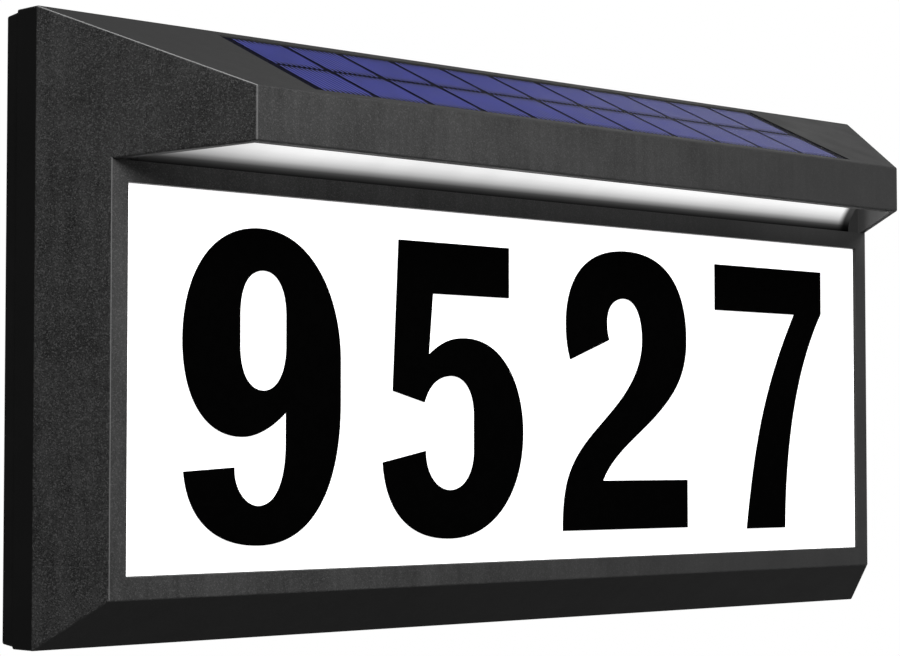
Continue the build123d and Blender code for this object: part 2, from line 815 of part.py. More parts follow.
def outline_ring(outside, inside):
    """Ring between two lines that follow the sign's outline, so far in from it."""
    Rectangle(width - 2 * outside, height - 2 * outside)
    Rectangle(width - 2 * inside, height - 2 * inside, mode=Mode.SUBTRACT)


with BuildPart() as back_cover:
    # Plate and rim, wider where the rim meets the side wall
    with BuildSketch(facing(0)):
        RectangleRounded(width - 2 * cover_draft, height - 2 * cover_draft, edge_radius)
    extrude(amount=cover_depth, taper=-degrees(atan2(cover_draft - seam_step, cover_depth)))
    with BuildSketch(facing(cover_plate)):
        Rectangle(width - 2 * tongue_inside, height - 2 * tongue_inside)
    extrude(amount=cover_depth, mode=Mode.SUBTRACT)
    with BuildSketch(facing(groove_depth)):
        outline_ring(seal_outside, tongue_outside)
    extrude(amount=seal_depth, mode=Mode.SUBTRACT)
    with BuildSketch(facing(groove_depth)):
        outline_ring(tongue_outside, tongue_inside)
    extrude(amount=seal_depth + tongue_height)

    # Stiffening ribs
    with BuildSketch(facing(cover_plate)):
        with Locations(*[(0, z) for z in rib_heights]):
            Rectangle(width - 2 * tongue_inside, rib_width)
        with Locations(*[(x, 0) for x in (-rib_reach, middle_rib_x, rib_reach)]):
            Rectangle(rib_width, height - 2 * tongue_inside)
    extrude(amount=rib_depth)

    # Posts under the closing screws and the control board, collar of the button
    with BuildSketch(facing(cover_plate)):
        with Locations(*screw_points):
            Rectangle(screw_post_width, screw_post_width)
    extrude(amount=screw_post_end - cover_plate)
    with BuildSketch(facing(cover_plate)):
        with Locations(*board_screw_points):
            small_round(board_post_radius)
    extrude(amount=board_depth - cover_plate)
    with BuildSketch(facing(cover_plate)):
        with Locations((button_x, button_z)):
            small_round(button_collar_radius, small_sides)
    extrude(amount=button_collar_depth - cover_plate)

    # Closed pockets behind the keyholes
    with BuildSketch(facing(cover_plate)):
        with Locations(*keyhole_pocket_points):
            Rectangle(keyhole_pocket_width, keyhole_pocket_height)
        offset(amount=keyhole_pocket_wall, kind=Kind.INTERSECTION)
    extrude(amount=keyhole_pocket_depth + keyhole_pocket_wall)
    with BuildSketch(facing(cover_plate)):
        with Locations(*keyhole_pocket_points):
            Rectangle(keyhole_pocket_width, keyhole_pocket_height)
    extrude(amount=keyhole_pocket_depth, mode=Mode.SUBTRACT)
    with BuildSketch(facing(0)):
        with Locations(*keyhole_points):
            Circle(keyhole_entry_radius)
        with Locations(*keyhole_pocket_points):
            SlotCenterToCenter(keyhole_slot_length, keyhole_slot_width, rotation=90)
    extrude(amount=cover_plate, mode=Mode.SUBTRACT)

    # Battery bay, the frame its hatch lies in, and the bosses for the hatch's screws
    with BuildSketch(facing(cover_plate)):
        with Locations(bay_place):
            Rectangle(*hatch_frame)
    extrude(amount=hatch_recess + hatch_ledge_thickness - cover_plate)
    with BuildSketch(facing(cover_plate)):
        with Locations(bay_place):
            Rectangle(*bay_outside)
    extrude(amount=bay_floor_depth + bay_wall - cover_plate)
    with BuildSketch(facing(cover_plate)):
        with Locations(*hatch_screw_points):
            small_round(hatch_boss_radius)
    extrude(amount=hatch_boss_end_depth - cover_plate)
    with BuildSketch(facing(0)):
        with Locations(bay_place):
            RectangleRounded(*hatch_opening, hatch_corner_radius)
    extrude(amount=hatch_recess, mode=Mode.SUBTRACT)
    with BuildSketch(facing(0)):
        with Locations(bay_place):
            Rectangle(bay_length, bay_height)
    extrude(amount=bay_floor_depth, mode=Mode.SUBTRACT)
    with BuildSketch(facing(hatch_recess)):
        with Locations(*hatch_screw_points):
            small_round(hatch_screw_radius + screw_pilot_clearance)
    extrude(amount=hatch_screw_hole_depth, mode=Mode.SUBTRACT)
    with BuildSketch(facing(lead_plane_depth - contact_slot_height / 2)):
        with Locations(bay_place):
            Rectangle(bay_outside[0] + bay_wall, contact_slot_width)
    extrude(amount=contact_slot_height, mode=Mode.SUBTRACT)

    # Screw holes and the button's bore
    with BuildSketch(facing(0)):
        with Locations(*screw_points):
            small_round(screw_head_radius + screw_head_clearance, small_sides)
    extrude(amount=screw_seat, mode=Mode.SUBTRACT)
    with BuildSketch(facing(0)):
        with Locations(*screw_points):
            small_round(screw_radius + screw_hole_clearance)
    extrude(amount=screw_post_end, mode=Mode.SUBTRACT)
    with BuildSketch(facing(board_depth)):
        with Locations(*board_screw_points):
            small_round(board_screw_radius + screw_pilot_clearance)
    extrude(amount=-board_screw_hole_depth, mode=Mode.SUBTRACT)
    with BuildSketch(facing(0)):
        with Locations((button_x, button_z)):
            Circle(button_bore_radius)
    extrude(amount=button_shoulder_depth, mode=Mode.SUBTRACT)
    with BuildSketch(facing(button_shoulder_depth)):
        with Locations((button_x, button_z)):
            small_round(flange_bore_radius, small_sides)
    extrude(amount=button_collar_depth, mode=Mode.SUBTRACT)
back_cover.part.label = "back_cover"

with BuildPart() as housing_seal:
    with BuildSketch(facing(groove_depth)):
        outline_ring(seal_outside + seal_clearance, tongue_outside - seal_clearance)
    extrude(amount=seal_depth)
housing_seal.part.label = "housing_seal"


def rear_screws(points, head_depth, head_radius, head_height, shank_radius, length):
    """Screws driven in from the wall side; the length is measured under the head."""
    with BuildSketch(facing(head_depth)) as heads:
        with Locations(*points):
            small_round(head_radius, small_sides)
    extrude(heads.sketch, amount=head_height)
    with BuildSketch(facing(head_depth + head_height)) as shanks:
        with Locations(*points):
            small_round(shank_radius)
    extrude(shanks.sketch, amount=length)


with BuildPart() as housing_screws:
    rear_screws(
        screw_points,
        screw_seat - screw_head_height,
        screw_head_radius,
        screw_head_height,
        screw_radius,
        screw_length,
    )
housing_screws.part.label = "housing_screws"

# --- Battery and its hatch ----------------------------------------------------------------------------------

cell_depth = bay_floor_depth - cell_bed_gap - cell_radius
cell_plus_x = bay_x - (cell_can_length + cell_nub_height) / 2

with BuildPart() as battery:
    with BuildSketch(Plane.YZ.offset(cell_plus_x + cell_nub_height)):
        with Locations((-cell_depth, bay_z)):
            Circle(cell_radius)
    extrude(amount=cell_can_length)
    with BuildSketch(Plane.YZ.offset(cell_plus_x)):
        with Locations((-cell_depth, bay_z)):
            small_round(cell_nub_radius, small_sides)
    extrude(amount=cell_nub_height)
battery.part.label = "battery"

# Leaf springs: each lies on an end wall, folds over and bows out to the cell
bay_end_x = bay_length / 2
spring_back = contact_clearance + contact_thickness / 2
spring_crest = (cell_can_length + cell_nub_height) / 2 + spring_back - contact_crest_rounding
tag_end_x = bay_end_x + bay_wall + contact_tag_reach

with BuildPart() as battery_contacts:
    for side in (-1, 1):
        wall_x = bay_x + side * (bay_end_x - spring_back)
        crest_x = bay_x + side * spring_crest
        with BuildSketch(Plane.XY.offset(bay_z - contact_width / 2)):
            with BuildLine():
                FilletPolyline(
                    (wall_x, -cell_depth - contact_leaf_height / 2),
                    (wall_x, -cell_depth + contact_leaf_height / 2),
                    (crest_x, -cell_depth),
                    (wall_x - side * contact_end_lift, -cell_depth - contact_leaf_height / 3),
                    radius=contact_bend_radius,
                )
            trace(line_width=contact_thickness)
        extrude(amount=contact_width)
        with BuildSketch(facing(lead_plane_depth - contact_thickness / 2)):
            with Locations((bay_x + side * (bay_end_x - contact_clearance + tag_end_x) / 2, bay_z)):
                Rectangle(tag_end_x - bay_end_x + contact_clearance, contact_tag_width)
        extrude(amount=contact_thickness)
battery_contacts.part.label = "battery_contacts"

with BuildPart() as hatch_seal:
    with BuildSketch(facing(hatch_sunk + hatch_thickness)):
        with Locations(bay_place):
            seal_inner = (bay_length + hatch_seal_setback, bay_height + hatch_seal_setback)
            Rectangle(seal_inner[0] + 2 * hatch_seal_width, seal_inner[1] + 2 * hatch_seal_width)
            Rectangle(*seal_inner, mode=Mode.SUBTRACT)
    extrude(amount=hatch_seal_thickness)
hatch_seal.part.label = "hatch_seal"

with BuildPart() as battery_hatch:
    with BuildSketch(facing(hatch_sunk)):
        with Locations(bay_place):
            RectangleRounded(hatch_length, hatch_height, hatch_corner_radius)
    extrude(amount=hatch_thickness)
    with BuildSketch(facing(hatch_sunk)):
        with Locations(*hatch_screw_points):
            small_round(hatch_screw_head_radius + screw_pilot_clearance, small_sides)
    extrude(amount=hatch_screw_head_height, mode=Mode.SUBTRACT)
    with BuildSketch(facing(hatch_sunk)):
        with Locations(*hatch_screw_points):
            small_round(hatch_screw_radius + screw_hole_clearance)
    extrude(amount=hatch_thickness, mode=Mode.SUBTRACT)
battery_hatch.part.label = "battery_hatch"

with BuildPart() as hatch_screws:
    rear_screws(
        hatch_screw_points,
        hatch_sunk,
        hatch_screw_head_radius,
        hatch_screw_head_height,
        hatch_screw_radius,
        hatch_screw_length,
    )
hatch_screws.part.label = "hatch_screws"

# --- Control board ------------------------------------------------------------------------------------------

with BuildPart() as control_board:
    with BuildSketch(facing(board_depth)):
        with Locations(board_place):
            Rectangle(board_width, board_height)
        with Locations(*board_screw_points):
            small_round(board_screw_radius + screw_hole_clearance, mode=Mode.SUBTRACT)
    extrude(amount=board_thickness)
control_board.part.label = "control_board"

with BuildPart() as control_board_screws:
    with BuildSketch(facing(board_front)):
        with Locations(*board_screw_points):
            small_round(board_screw_head_radius)
    extrude(amount=board_screw_head_height)
    with BuildSketch(facing(board_front)):
        with Locations(*board_screw_points):
            small_round(board_screw_radius)
    extrude(amount=-board_screw_length)
control_board_screws.part.label = "control_board_screws"

with BuildPart() as controller_chip:
    with BuildSketch(facing(board_front)):
        with Locations((board_x + chip_place[0], board_z + chip_place[1])):
            Rectangle(chip_size[0], chip_size[1])
    extrude(amount=chip_size[2])
controller_chip.part.label = "controller_chip"

with BuildPart() as charging_coil:
    with BuildSketch(facing(board_front)):
        with Locations((board_x + coil_place[0], board_z + coil_place[1])):
            Rectangle(coil_size, coil_size)
    extrude(amount=coil_height)
charging_coil.part.label = "charging_coil"

with BuildPart() as storage_capacitor:
    with BuildSketch(facing(board_front)):
        with Locations((board_x + capacitor_place[0], board_z + capacitor_place[1])):
            small_round(capacitor_radius, small_sides)
    extrude(amount=capacitor_height)
storage_capacitor.part.label = "storage_capacitor"

socket_row = [(x, socket_top) for x in (battery_plug_x, solar_plug_x, lamp_plug_x)]
plug_width = socket_width - 2 * (plug_wall + plug_clearance)
plug_depth = socket_depth - 2 * (plug_wall + plug_clearance)

with BuildPart() as lead_sockets:
    with BuildSketch(facing(board_front)):
        with Locations(*socket_row):
            Rectangle(socket_width, socket_height, align=(Align.CENTER, Align.MAX))
    extrude(amount=socket_depth)
    with BuildSketch(facing(board_front + plug_wall)):
        with Locations(*socket_row):
            Rectangle(
                plug_width + 2 * plug_clearance,
                socket_height - plug_wall,
                align=(Align.CENTER, Align.MAX),
            )
    extrude(amount=plug_depth + 2 * plug_clearance, mode=Mode.SUBTRACT)
lead_sockets.part.label = "lead_sockets"

with BuildPart() as lead_plugs:
    with BuildSketch(facing(board_front + plug_wall + plug_clearance)):
        with Locations(*[(x, plug_top) for x, z in socket_row]):
            Rectangle(plug_width, plug_length, align=(Align.CENTER, Align.MAX))
    extrude(amount=plug_depth)
lead_plugs.part.label = "lead_plugs"

# --- Push button --------------------------------------------------------------------------------------------

switch_face = board_depth - switch_body_height
plunger_start = switch_face - button_travel - plunger_clearance
plunger_end = plunger_start + plunger_length
seal_rear = button_shoulder_depth + button_flange_clearance
flange_rear = seal_rear + button_seal_thickness

with BuildPart() as power_switch:
    with BuildSketch(facing(switch_face)):
        with Locations((button_x, button_z)):
            Rectangle(switch_body_size, switch_body_size)
    extrude(amount=switch_body_height)
    with BuildSketch(facing(switch_face)):
        with Locations((button_x, button_z)):
            small_round(plunger_radius + plunger_clearance)
    extrude(amount=plunger_end + button_travel + plunger_clearance - switch_face, mode=Mode.SUBTRACT)
power_switch.part.label = "power_switch"

with BuildPart() as switch_plunger:
    with BuildSketch(facing(plunger_start)):
        with Locations((button_x, button_z)):
            small_round(plunger_radius)
    extrude(amount=plunger_length)
switch_plunger.part.label = "switch_plunger"

with BuildPart() as power_button:
    with BuildSketch(facing(button_sunk)):
        with Locations((button_x, button_z)):
            Circle(button_radius)
    extrude(amount=flange_rear - button_sunk)
    with BuildSketch(facing(flange_rear)):
        with Locations((button_x, button_z)):
            small_round(button_flange_radius, small_sides)
    extrude(amount=button_flange_thickness)
    with BuildSketch(facing(flange_rear)):
        with Locations((button_x, button_z)):
            small_round(button_stem_radius)
    extrude(amount=plunger_start - flange_rear)
power_button.part.label = "power_button"

# Flat ring round the cap, which the flange holds against the bore's shoulder
with BuildPart() as button_seal:
    with BuildSketch(facing(seal_rear)):
        with Locations((button_x, button_z)):
            small_round(button_flange_radius, small_sides)
            Circle(button_radius + button_seal_clearance, mode=Mode.SUBTRACT)
    extrude(amount=button_seal_thickness)
button_seal.part.label = "button_seal"

# --- Leads --------------------------------------------------------------------------------------------------

solar_lead_depth, solar_lead_z = roof_point(solar_lead_slope_place, solar_pocket - solar_tape_thickness)
solar_bend_z = solar_lead_z - (solar_lead_depth - lead_plane_depth) / tan(roof_lean)

with BuildPart() as solar_lead:
    with BuildLine() as solar_route:
        FilletPolyline(
            (solar_plug_x, -solar_lead_depth, solar_lead_z),
            (solar_plug_x, -lead_plane_depth, solar_bend_z),
            (solar_plug_x, -lead_plane_depth, plug_top),
            radius=lead_bend_radius,
        )
    with BuildSketch(Plane(origin=solar_route.line @ 0, z_dir=solar_route.line % 0)):
        RegularPolygon(lead_radius, lead_sides)
    sweep(path=solar_route.line)
solar_lead.part.label = "solar_lead"

with BuildPart() as led_lead:
    with BuildLine() as lamp_route:
        FilletPolyline(
            (lamp_plug_x, -lamp_lead_depth, lamp_lead_z),
            (lamp_plug_x, -lead_plane_depth, lamp_lead_z),
            (lamp_plug_x, -lead_plane_depth, plug_top),
            radius=lead_bend_radius,
        )
    with BuildSketch(Plane(origin=lamp_route.line @ 0, z_dir=lamp_route.line % 0)):
        RegularPolygon(lead_radius, lead_sides)
    sweep(path=lamp_route.line)
led_lead.part.label = "led_lead"

with BuildPart() as battery_lead:
    with BuildLine() as plus_route:
        FilletPolyline(
            (bay_x - tag_end_x, -lead_plane_depth, bay_z),
            (bay_x - tag_end_x - plus_wire_offset, -lead_plane_depth, bay_z),
            (bay_x - tag_end_x - plus_wire_offset, -lead_plane_depth, plus_wire_z),
            (battery_plug_x + wire_offset, -lead_plane_depth, plus_wire_z),
            (battery_plug_x + wire_offset, -lead_plane_depth, plug_top),
            radius=wire_bend_radius,
        )
    with BuildSketch(Plane(origin=plus_route.line @ 0, z_dir=plus_route.line % 0)):
        RegularPolygon(wire_radius, lead_sides)
    sweep(path=plus_route.line)
    with BuildLine() as minus_route:
        FilletPolyline(
            (bay_x + tag_end_x, -lead_plane_depth, bay_z),
            (minus_wire_x, -lead_plane_depth, bay_z),
            (minus_wire_x, -lead_plane_depth, minus_wire_z),
            (battery_plug_x - wire_offset, -lead_plane_depth, minus_wire_z),
            (battery_plug_x - wire_offset, -lead_plane_depth, plug_top),
            radius=wire_bend_radius,
        )
    with BuildSketch(Plane(origin=minus_route.line @ 0, z_dir=minus_route.line % 0)):
        RegularPolygon(wire_radius, lead_sides)
    sweep(path=minus_route.line)
battery_lead.part.label = "battery_lead"

bush_radius = lead_hole_radius - bush_clearance
with BuildPart() as lead_bushes:
    with BuildSketch(facing(divider_back)):
        with Locations((lamp_plug_x, lamp_lead_z)):
            small_round(bush_radius)
    extrude(amount=wall)
    with BuildSketch(facing(divider_back)):
        with Locations((lamp_plug_x, lamp_lead_z)):
            small_round(bush_flange_radius)
    extrude(amount=-bush_flange_thickness)
    with BuildSketch(facing(divider_back - bush_flange_thickness)):
        with Locations((lamp_plug_x, lamp_lead_z)):
            small_round(lead_radius + bush_clearance)
    extrude(amount=bush_flange_thickness + wall, mode=Mode.SUBTRACT)
    with BuildSketch(roof_plane.offset(-solar_tray)):
        with Locations((solar_plug_x, -solar_lead_slope_place)):
            small_round(bush_radius)
    extrude(amount=solar_floor)
    with BuildSketch(roof_plane.offset(-solar_tray)):
        with Locations((solar_plug_x, -solar_lead_slope_place)):
            small_round(bush_flange_radius)
    extrude(amount=-bush_flange_thickness)
    with BuildSketch(roof_plane.offset(-solar_tray - bush_flange_thickness)):
        with Locations((solar_plug_x, -solar_lead_slope_place)):
            small_round(lead_radius + bush_clearance)
    extrude(amount=bush_flange_thickness + solar_floor, mode=Mode.SUBTRACT)
lead_bushes.part.label = "lead_bushes"

# --- One file for each piece --------------------------------------------------------------------------------

pieces = [
    front_housing,
    back_cover,
    housing_seal,
    housing_screws,
    number_panel,
    panel_tape,
    digit_nine,
    digit_five,
    digit_two,
    digit_seven,
    solar_tape,
    solar_backing,
    solar_cells,
    solar_cover,
    light_diffuser,
    led_board,
    leds,
    led_board_screws,
    battery,
    battery_contacts,
    battery_hatch,
    hatch_seal,
    hatch_screws,
    control_board,
    control_board_screws,
    controller_chip,
    charging_coil,
    storage_capacitor,
    lead_sockets,
    lead_plugs,
    power_switch,
    switch_plunger,
    power_button,
    button_seal,
    solar_lead,
    led_lead,
    battery_lead,
    lead_bushes,
]
for piece in pieces:
    export_step(piece.part, f"parts/{piece.part.label}.step")
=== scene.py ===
"""Looks of the illuminated house number sign: finishes, small fittings, floor, lights and camera.

Everything is in metres and in the sign's own frame: X to the right, Z up, the digits facing -Y, and the
origin at the middle of the flat back.
"""

import json
from math import cos, pi, radians, sin

import bmesh
import bpy
from mathutils import Matrix, Vector


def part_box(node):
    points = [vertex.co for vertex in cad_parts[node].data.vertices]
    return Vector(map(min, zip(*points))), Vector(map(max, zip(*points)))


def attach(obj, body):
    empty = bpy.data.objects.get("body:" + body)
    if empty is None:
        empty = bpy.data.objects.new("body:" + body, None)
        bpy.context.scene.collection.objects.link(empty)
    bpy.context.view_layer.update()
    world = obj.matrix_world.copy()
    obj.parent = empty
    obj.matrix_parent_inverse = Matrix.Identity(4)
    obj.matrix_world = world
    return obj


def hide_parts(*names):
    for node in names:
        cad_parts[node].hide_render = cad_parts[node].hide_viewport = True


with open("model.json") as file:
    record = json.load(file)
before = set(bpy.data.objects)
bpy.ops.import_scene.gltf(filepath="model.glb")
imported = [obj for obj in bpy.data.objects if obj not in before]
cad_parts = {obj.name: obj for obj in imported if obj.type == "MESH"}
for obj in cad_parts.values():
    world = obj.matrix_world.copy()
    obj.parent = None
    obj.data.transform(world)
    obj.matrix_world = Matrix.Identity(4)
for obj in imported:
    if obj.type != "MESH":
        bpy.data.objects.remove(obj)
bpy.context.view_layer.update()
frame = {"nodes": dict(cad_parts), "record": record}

MM = 0.001
SIDE_LEAN = radians(37.2)  # of the canted cheeks, away from the wall's normal
scene = bpy.context.scene
nodes = frame["nodes"]

# --- Camera, floor and light ----------------------------------------------------------------------

CAMERA_PLACE = (-0.57559, -0.5881, -0.03496)
CAMERA_TURN = radians(-43.905)
CAMERA_PITCH = radians(2.871)
LENS = 101.96
SENSOR_WIDTH = 36.0

FLOOR_DROP = 2.2  # the floor lies this far under the origin, so that the sign is also seen from below
FLOOR_SIZE = 14.0

# Strength of the world where the camera sees it, and where it lights the sign
BACKDROP_BRIGHTNESS = 1.0
AMBIENT = 0.095

# Softboxes: place, power in watts, width, height; all of them face the sign
SOFTBOXES = {
    "key_light": ((-0.15, -0.90, 0.65), 13.5, 0.8, 0.6),
    "rim_light": ((1.30, 0.60, 0.60), 3.0, 0.7, 0.7),
    "back_light": ((1.00, 1.20, -0.05), 20.0, 0.8, 0.5),
}


def add_camera():
    data = bpy.data.cameras.new("camera")
    data.sensor_width = SENSOR_WIDTH
    data.lens = LENS
    camera = bpy.data.objects.new("camera", data)
    camera.location = CAMERA_PLACE
    camera.rotation_euler = (pi / 2 + CAMERA_PITCH, 0, CAMERA_TURN)
    scene.collection.objects.link(camera)
    scene.camera = camera


def add_softbox(name, place, power, width, height):
    data = bpy.data.lights.new(name, "AREA")
    data.shape = "RECTANGLE"
    data.size = width
    data.size_y = height
    data.energy = power
    light = bpy.data.objects.new(name, data)
    light.location = place
    light.rotation_euler = (-Vector(place)).to_track_quat("-Z", "Y").to_euler()
    scene.collection.objects.link(light)


def add_world():
    """Pale studio: its backdrop is bright where it is seen, and its light on the sign is weak."""
    world = bpy.data.worlds.new("studio")
    scene.world = world
    world.use_nodes = True
    tree = world.node_tree
    background = tree.nodes["Background"]
    seen = tree.nodes.new("ShaderNodeLightPath")
    strength = tree.nodes.new("ShaderNodeMapRange")
    strength.inputs["To Min"].default_value = AMBIENT
    strength.inputs["To Max"].default_value = BACKDROP_BRIGHTNESS
    tree.links.new(seen.outputs["Is Camera Ray"], strength.inputs["Value"])
    tree.links.new(strength.outputs["Result"], background.inputs["Strength"])
    background.inputs["Color"].default_value = (1, 1, 1, 1)


# --- Finishes -------------------------------------------------------------------------------------


class Finish:
    """A node material around one Principled shader, with its textures in metres in the sign's frame."""

    def __init__(self, name, color, roughness, **sockets):
        self.material = bpy.data.materials.new(name)
        self.material.use_nodes = True
        self.tree = self.material.node_tree
        self.shader = self.tree.nodes["Principled BSDF"]
        self.place = self.add("ShaderNodeTexCoord").outputs["Object"]
        self.set(Base_Color=(*color, 1), Roughness=roughness, **sockets)

    def add(self, kind, **settings):
        node = self.tree.nodes.new(kind)
        for setting, value in settings.items():
            setattr(node, setting, value)
        return node

    def join(self, source, target):
        self.tree.links.new(source, target)

    def set(self, **sockets):
        for socket, value in sockets.items():
            self.shader.inputs[socket.replace("_", " ")].default_value = value

    def drive(self, socket, source):
        self.join(source, self.shader.inputs[socket])

    def stretched(self, scale, stretch):
        """The place, scaled up and then stretched along each axis."""
        mapping = self.add("ShaderNodeMapping")
        mapping.inputs["Scale"].default_value = [scale * part for part in stretch]
        self.join(self.place, mapping.inputs["Vector"])
        return mapping.outputs["Vector"]

    def noise(self, scale, detail=2.0, stretch=(1, 1, 1)):
        """Soft noise between 0 and 1, with so many blotches a metre."""
        noise = self.add("ShaderNodeTexNoise")
        noise.inputs["Scale"].default_value = 1.0
        noise.inputs["Detail"].default_value = detail
        self.join(self.stretched(scale, stretch), noise.inputs["Vector"])
        return noise.outputs["Fac"]

    def crystals(self, scale):
        """Small flat patches, each with its own value between 0 and 1."""
        patches = self.add("ShaderNodeTexVoronoi")
        patches.inputs["Scale"].default_value = 1.0
        self.join(self.stretched(scale, (1, 1, 1)), patches.inputs["Vector"])
        color = self.add("ShaderNodeSeparateColor")
        self.join(patches.outputs["Color"], color.inputs["Color"])
        return color.outputs["Red"]

    def split(self, vector):
        """The X, Y and Z of a vector."""
        node = self.add("ShaderNodeSeparateXYZ")
        self.join(vector, node.inputs["Vector"])
        return node.outputs

    def facing(self):
        """X, Y and Z of the face's own normal."""
        return self.split(self.add("ShaderNodeNewGeometry").outputs["True Normal"])

    def height_above(self, normal, distance):
        """Height above a plane with this normal, at this distance from the origin."""
        product = self.add("ShaderNodeVectorMath", operation="DOT_PRODUCT")
        product.inputs[1].default_value = normal
        self.join(self.place, product.inputs[0])
        return self.math("SUBTRACT", product.outputs["Value"], distance)

    def math(self, operation, first, second=0.0):
        node = self.add("ShaderNodeMath", operation=operation)
        for socket, value in zip(node.inputs, (first, second)):
            if isinstance(value, (int, float)):
                socket.default_value = value
            else:
                self.join(value, socket)
        return node.outputs["Value"]

    def product(self, first, *others):
        for other in others:
            first = self.math("MULTIPLY", first, other)
        return first

    def total(self, first, *others):
        for other in others:
            first = self.math("ADD", first, other)
        return first

    def spread(self, value, low, high, new_low, new_high, smooth=False):
        """The value moved from one range to another, and kept inside it."""
        node = self.add("ShaderNodeMapRange", interpolation_type="SMOOTHSTEP" if smooth else "LINEAR")
        limits = {"From Min": low, "From Max": high, "To Min": new_low, "To Max": new_high}
        for socket, number in limits.items():
            node.inputs[socket].default_value = number
        self.join(value, node.inputs["Value"])
        return node.outputs["Result"]

    def along(self, letter, low, high, new_low, new_high, smooth=False):
        """A value that goes from one number to another between two places on an axis, in millimetres."""
        return self.spread(self.split(self.place)[letter], low * MM, high * MM, new_low, new_high, smooth)

    def blend(self, factor, first, second):
        """Colour between two colours, each a colour or another node's output."""
        node = self.add("ShaderNodeMix", data_type="RGBA")
        sockets = {socket.identifier: socket for socket in node.inputs}
        self.join(factor, sockets["Factor_Float"])
        for name, color in (("A_Color", first), ("B_Color", second)):
            if isinstance(color, tuple):
                sockets[name].default_value = (*color, 1)
            else:
                self.join(color, sockets[name])
        return next(socket for socket in node.outputs if socket.identifier == "Result_Color")

    def bumps(self, height, depth, edge_radius=0.0):
        """Relief of a depth in metres, on edges that are softened to a radius."""
        bump = self.add("ShaderNodeBump")
        bump.inputs["Distance"].default_value = depth
        self.join(height, bump.inputs["Height"])
        if edge_radius:
            bevel = self.add("ShaderNodeBevel", samples=4)
            bevel.inputs["Radius"].default_value = edge_radius
            self.join(bevel.outputs["Normal"], bump.inputs["Normal"])
        self.drive("Normal", bump.outputs["Normal"])


def gray(value):
    return (value, value, value)


EDGE_RADIUS = 0.3 * MM  # to which the shading softens the edges of moulded parts


def moulded(name, dark, light, roughness, grain):
    """Moulded plastic: a fine spark-eroded grain with soft blotches under it."""
    finish = Finish(name, dark, roughness, Specular_IOR_Level=0.35)
    speckle = finish.noise(1500, detail=3.0)
    blotches = finish.noise(55, detail=4.0)
    mixed = finish.total(finish.product(speckle, 0.6), finish.product(blotches, 0.4))
    finish.drive("Base Color", finish.blend(finish.spread(mixed, 0.35, 0.65, 0, 1), dark, light))
    finish.drive("Roughness", finish.spread(blotches, 0.3, 0.7, roughness - 0.06, roughness + 0.06))
    finish.bumps(speckle, grain, EDGE_RADIUS)
    return finish.material


LARGE_FACE = 200 * MM * MM  # larger than any facet of a rounded edge


def housing_plane(fits):
    """Normal and distance from the origin of the housing's outermost large face that fits."""
    faces = [face for face in nodes["front_housing"].data.polygons if face.area > LARGE_FACE]
    fitting = [face for face in faces if fits(face.normal, face.center)]
    outermost = max(fitting, key=lambda face: face.normal.dot(face.center))
    return outermost.normal, outermost.normal.dot(outermost.center)


def shell_sides(finish):
    """How far a face belongs to each side of the housing, from 0 to 1, by the way it faces."""
    normal = finish.facing()
    sideways = finish.math("ABSOLUTE", normal["X"])
    forwards = finish.product(normal["Y"], -1.0)
    canted = finish.spread(sideways, 0.3, 0.6, 0, 1)
    steeply_canted = finish.spread(sideways, 0.5, 0.7, 0, 1)
    return {
        "cheek": finish.product(canted, finish.spread(forwards, 0.2, 0.4, 0, 1)),
        "cheek_inside": finish.product(steeply_canted, finish.spread(forwards, -0.5, -0.3, 1, 0)),
        "side_wall": finish.spread(sideways, 0.9, 0.97, 0, 1),
        "front": finish.spread(forwards, 0.9, 0.97, 0, 1),
        "roof": finish.spread(normal["Z"], 0.4, 0.8, 0, 1),
        "underside": finish.spread(normal["Z"], -0.7, -0.4, 1, 0),
    }


GRAIN_SCALE = 3100  # grains a metre
SMOOTH_GRAIN = 0.12  # strength of the grain where the shell is nearly smooth

SHELL_DARK, SHELL_PALE = gray(0.0), gray(0.088)
# Painted shade: the side walls are painted much darker than the rest of the shell.
SHADED_SIDE_WALL_COLOR = gray(0.014)


def shell_color(finish, sides, grain, coarse, blotches):
    """Dark plastic, speckled by its grain, with soft blotches and streaks, and with painted light and shade:
    the front paler towards its upper left, the underside paler towards the right, the side walls darker and
    the roof darker towards the right.
    """
    dots = finish.spread(grain, 0.86, 0.9, 0, 0.85)
    rough = finish.total(finish.spread(grain, 0, 1, -0.6, 0.38), dots)
    streaks = finish.noise(60, detail=4.0, stretch=(6, 6, 0.6))
    soft = finish.product(
        finish.spread(finish.total(blotches, streaks), 0.75, 1.25, -0.22, 0.22),
        finish.spread(coarse, SMOOTH_GRAIN, 0.4, 0.25, 1),
        finish.spread(sides["roof"], 0, 1, 1, 0.2),
    )
    # Painted light: the front is paler towards its upper left, the underside paler towards the right.
    painted_light_left = finish.along("X", -150, 30, 0.2, 0)
    painted_light_front = finish.product(sides["front"], painted_light_left, finish.along("Z", -85, 0, 0.45, 1))
    painted_light_underside = finish.product(sides["underside"], finish.along("X", -50, 170, 0.15, 0.8))
    shade = finish.total(finish.product(rough, coarse), soft, painted_light_front, painted_light_underside)
    plastic = finish.blend(finish.spread(shade, -1, 1, 0, 1), SHELL_DARK, SHELL_PALE)
    # Painted shade on the side walls.
    plastic = finish.blend(sides["side_wall"], plastic, SHADED_SIDE_WALL_COLOR)
    # Painted shade: the roof is blended towards the dark colour, more so to the right.
    painted_shade_right = finish.along("X", -120, 170, 0.16, 0.3)
    return finish.blend(finish.product(sides["roof"], painted_shade_right), plastic, SHELL_DARK)


# Painted highlights on the housing's sharp left edges: full up to the core's reach, and gone at the end's
ROOF_HIGHLIGHT, FASCIA_HIGHLIGHT, FRAME_HIGHLIGHT = 0.5, 0.15, 0.22
LINE_CORE, LINE_END = 0.12 * MM, 0.34 * MM
EDGE_HIGHLIGHT_COLOR = gray(0.8)


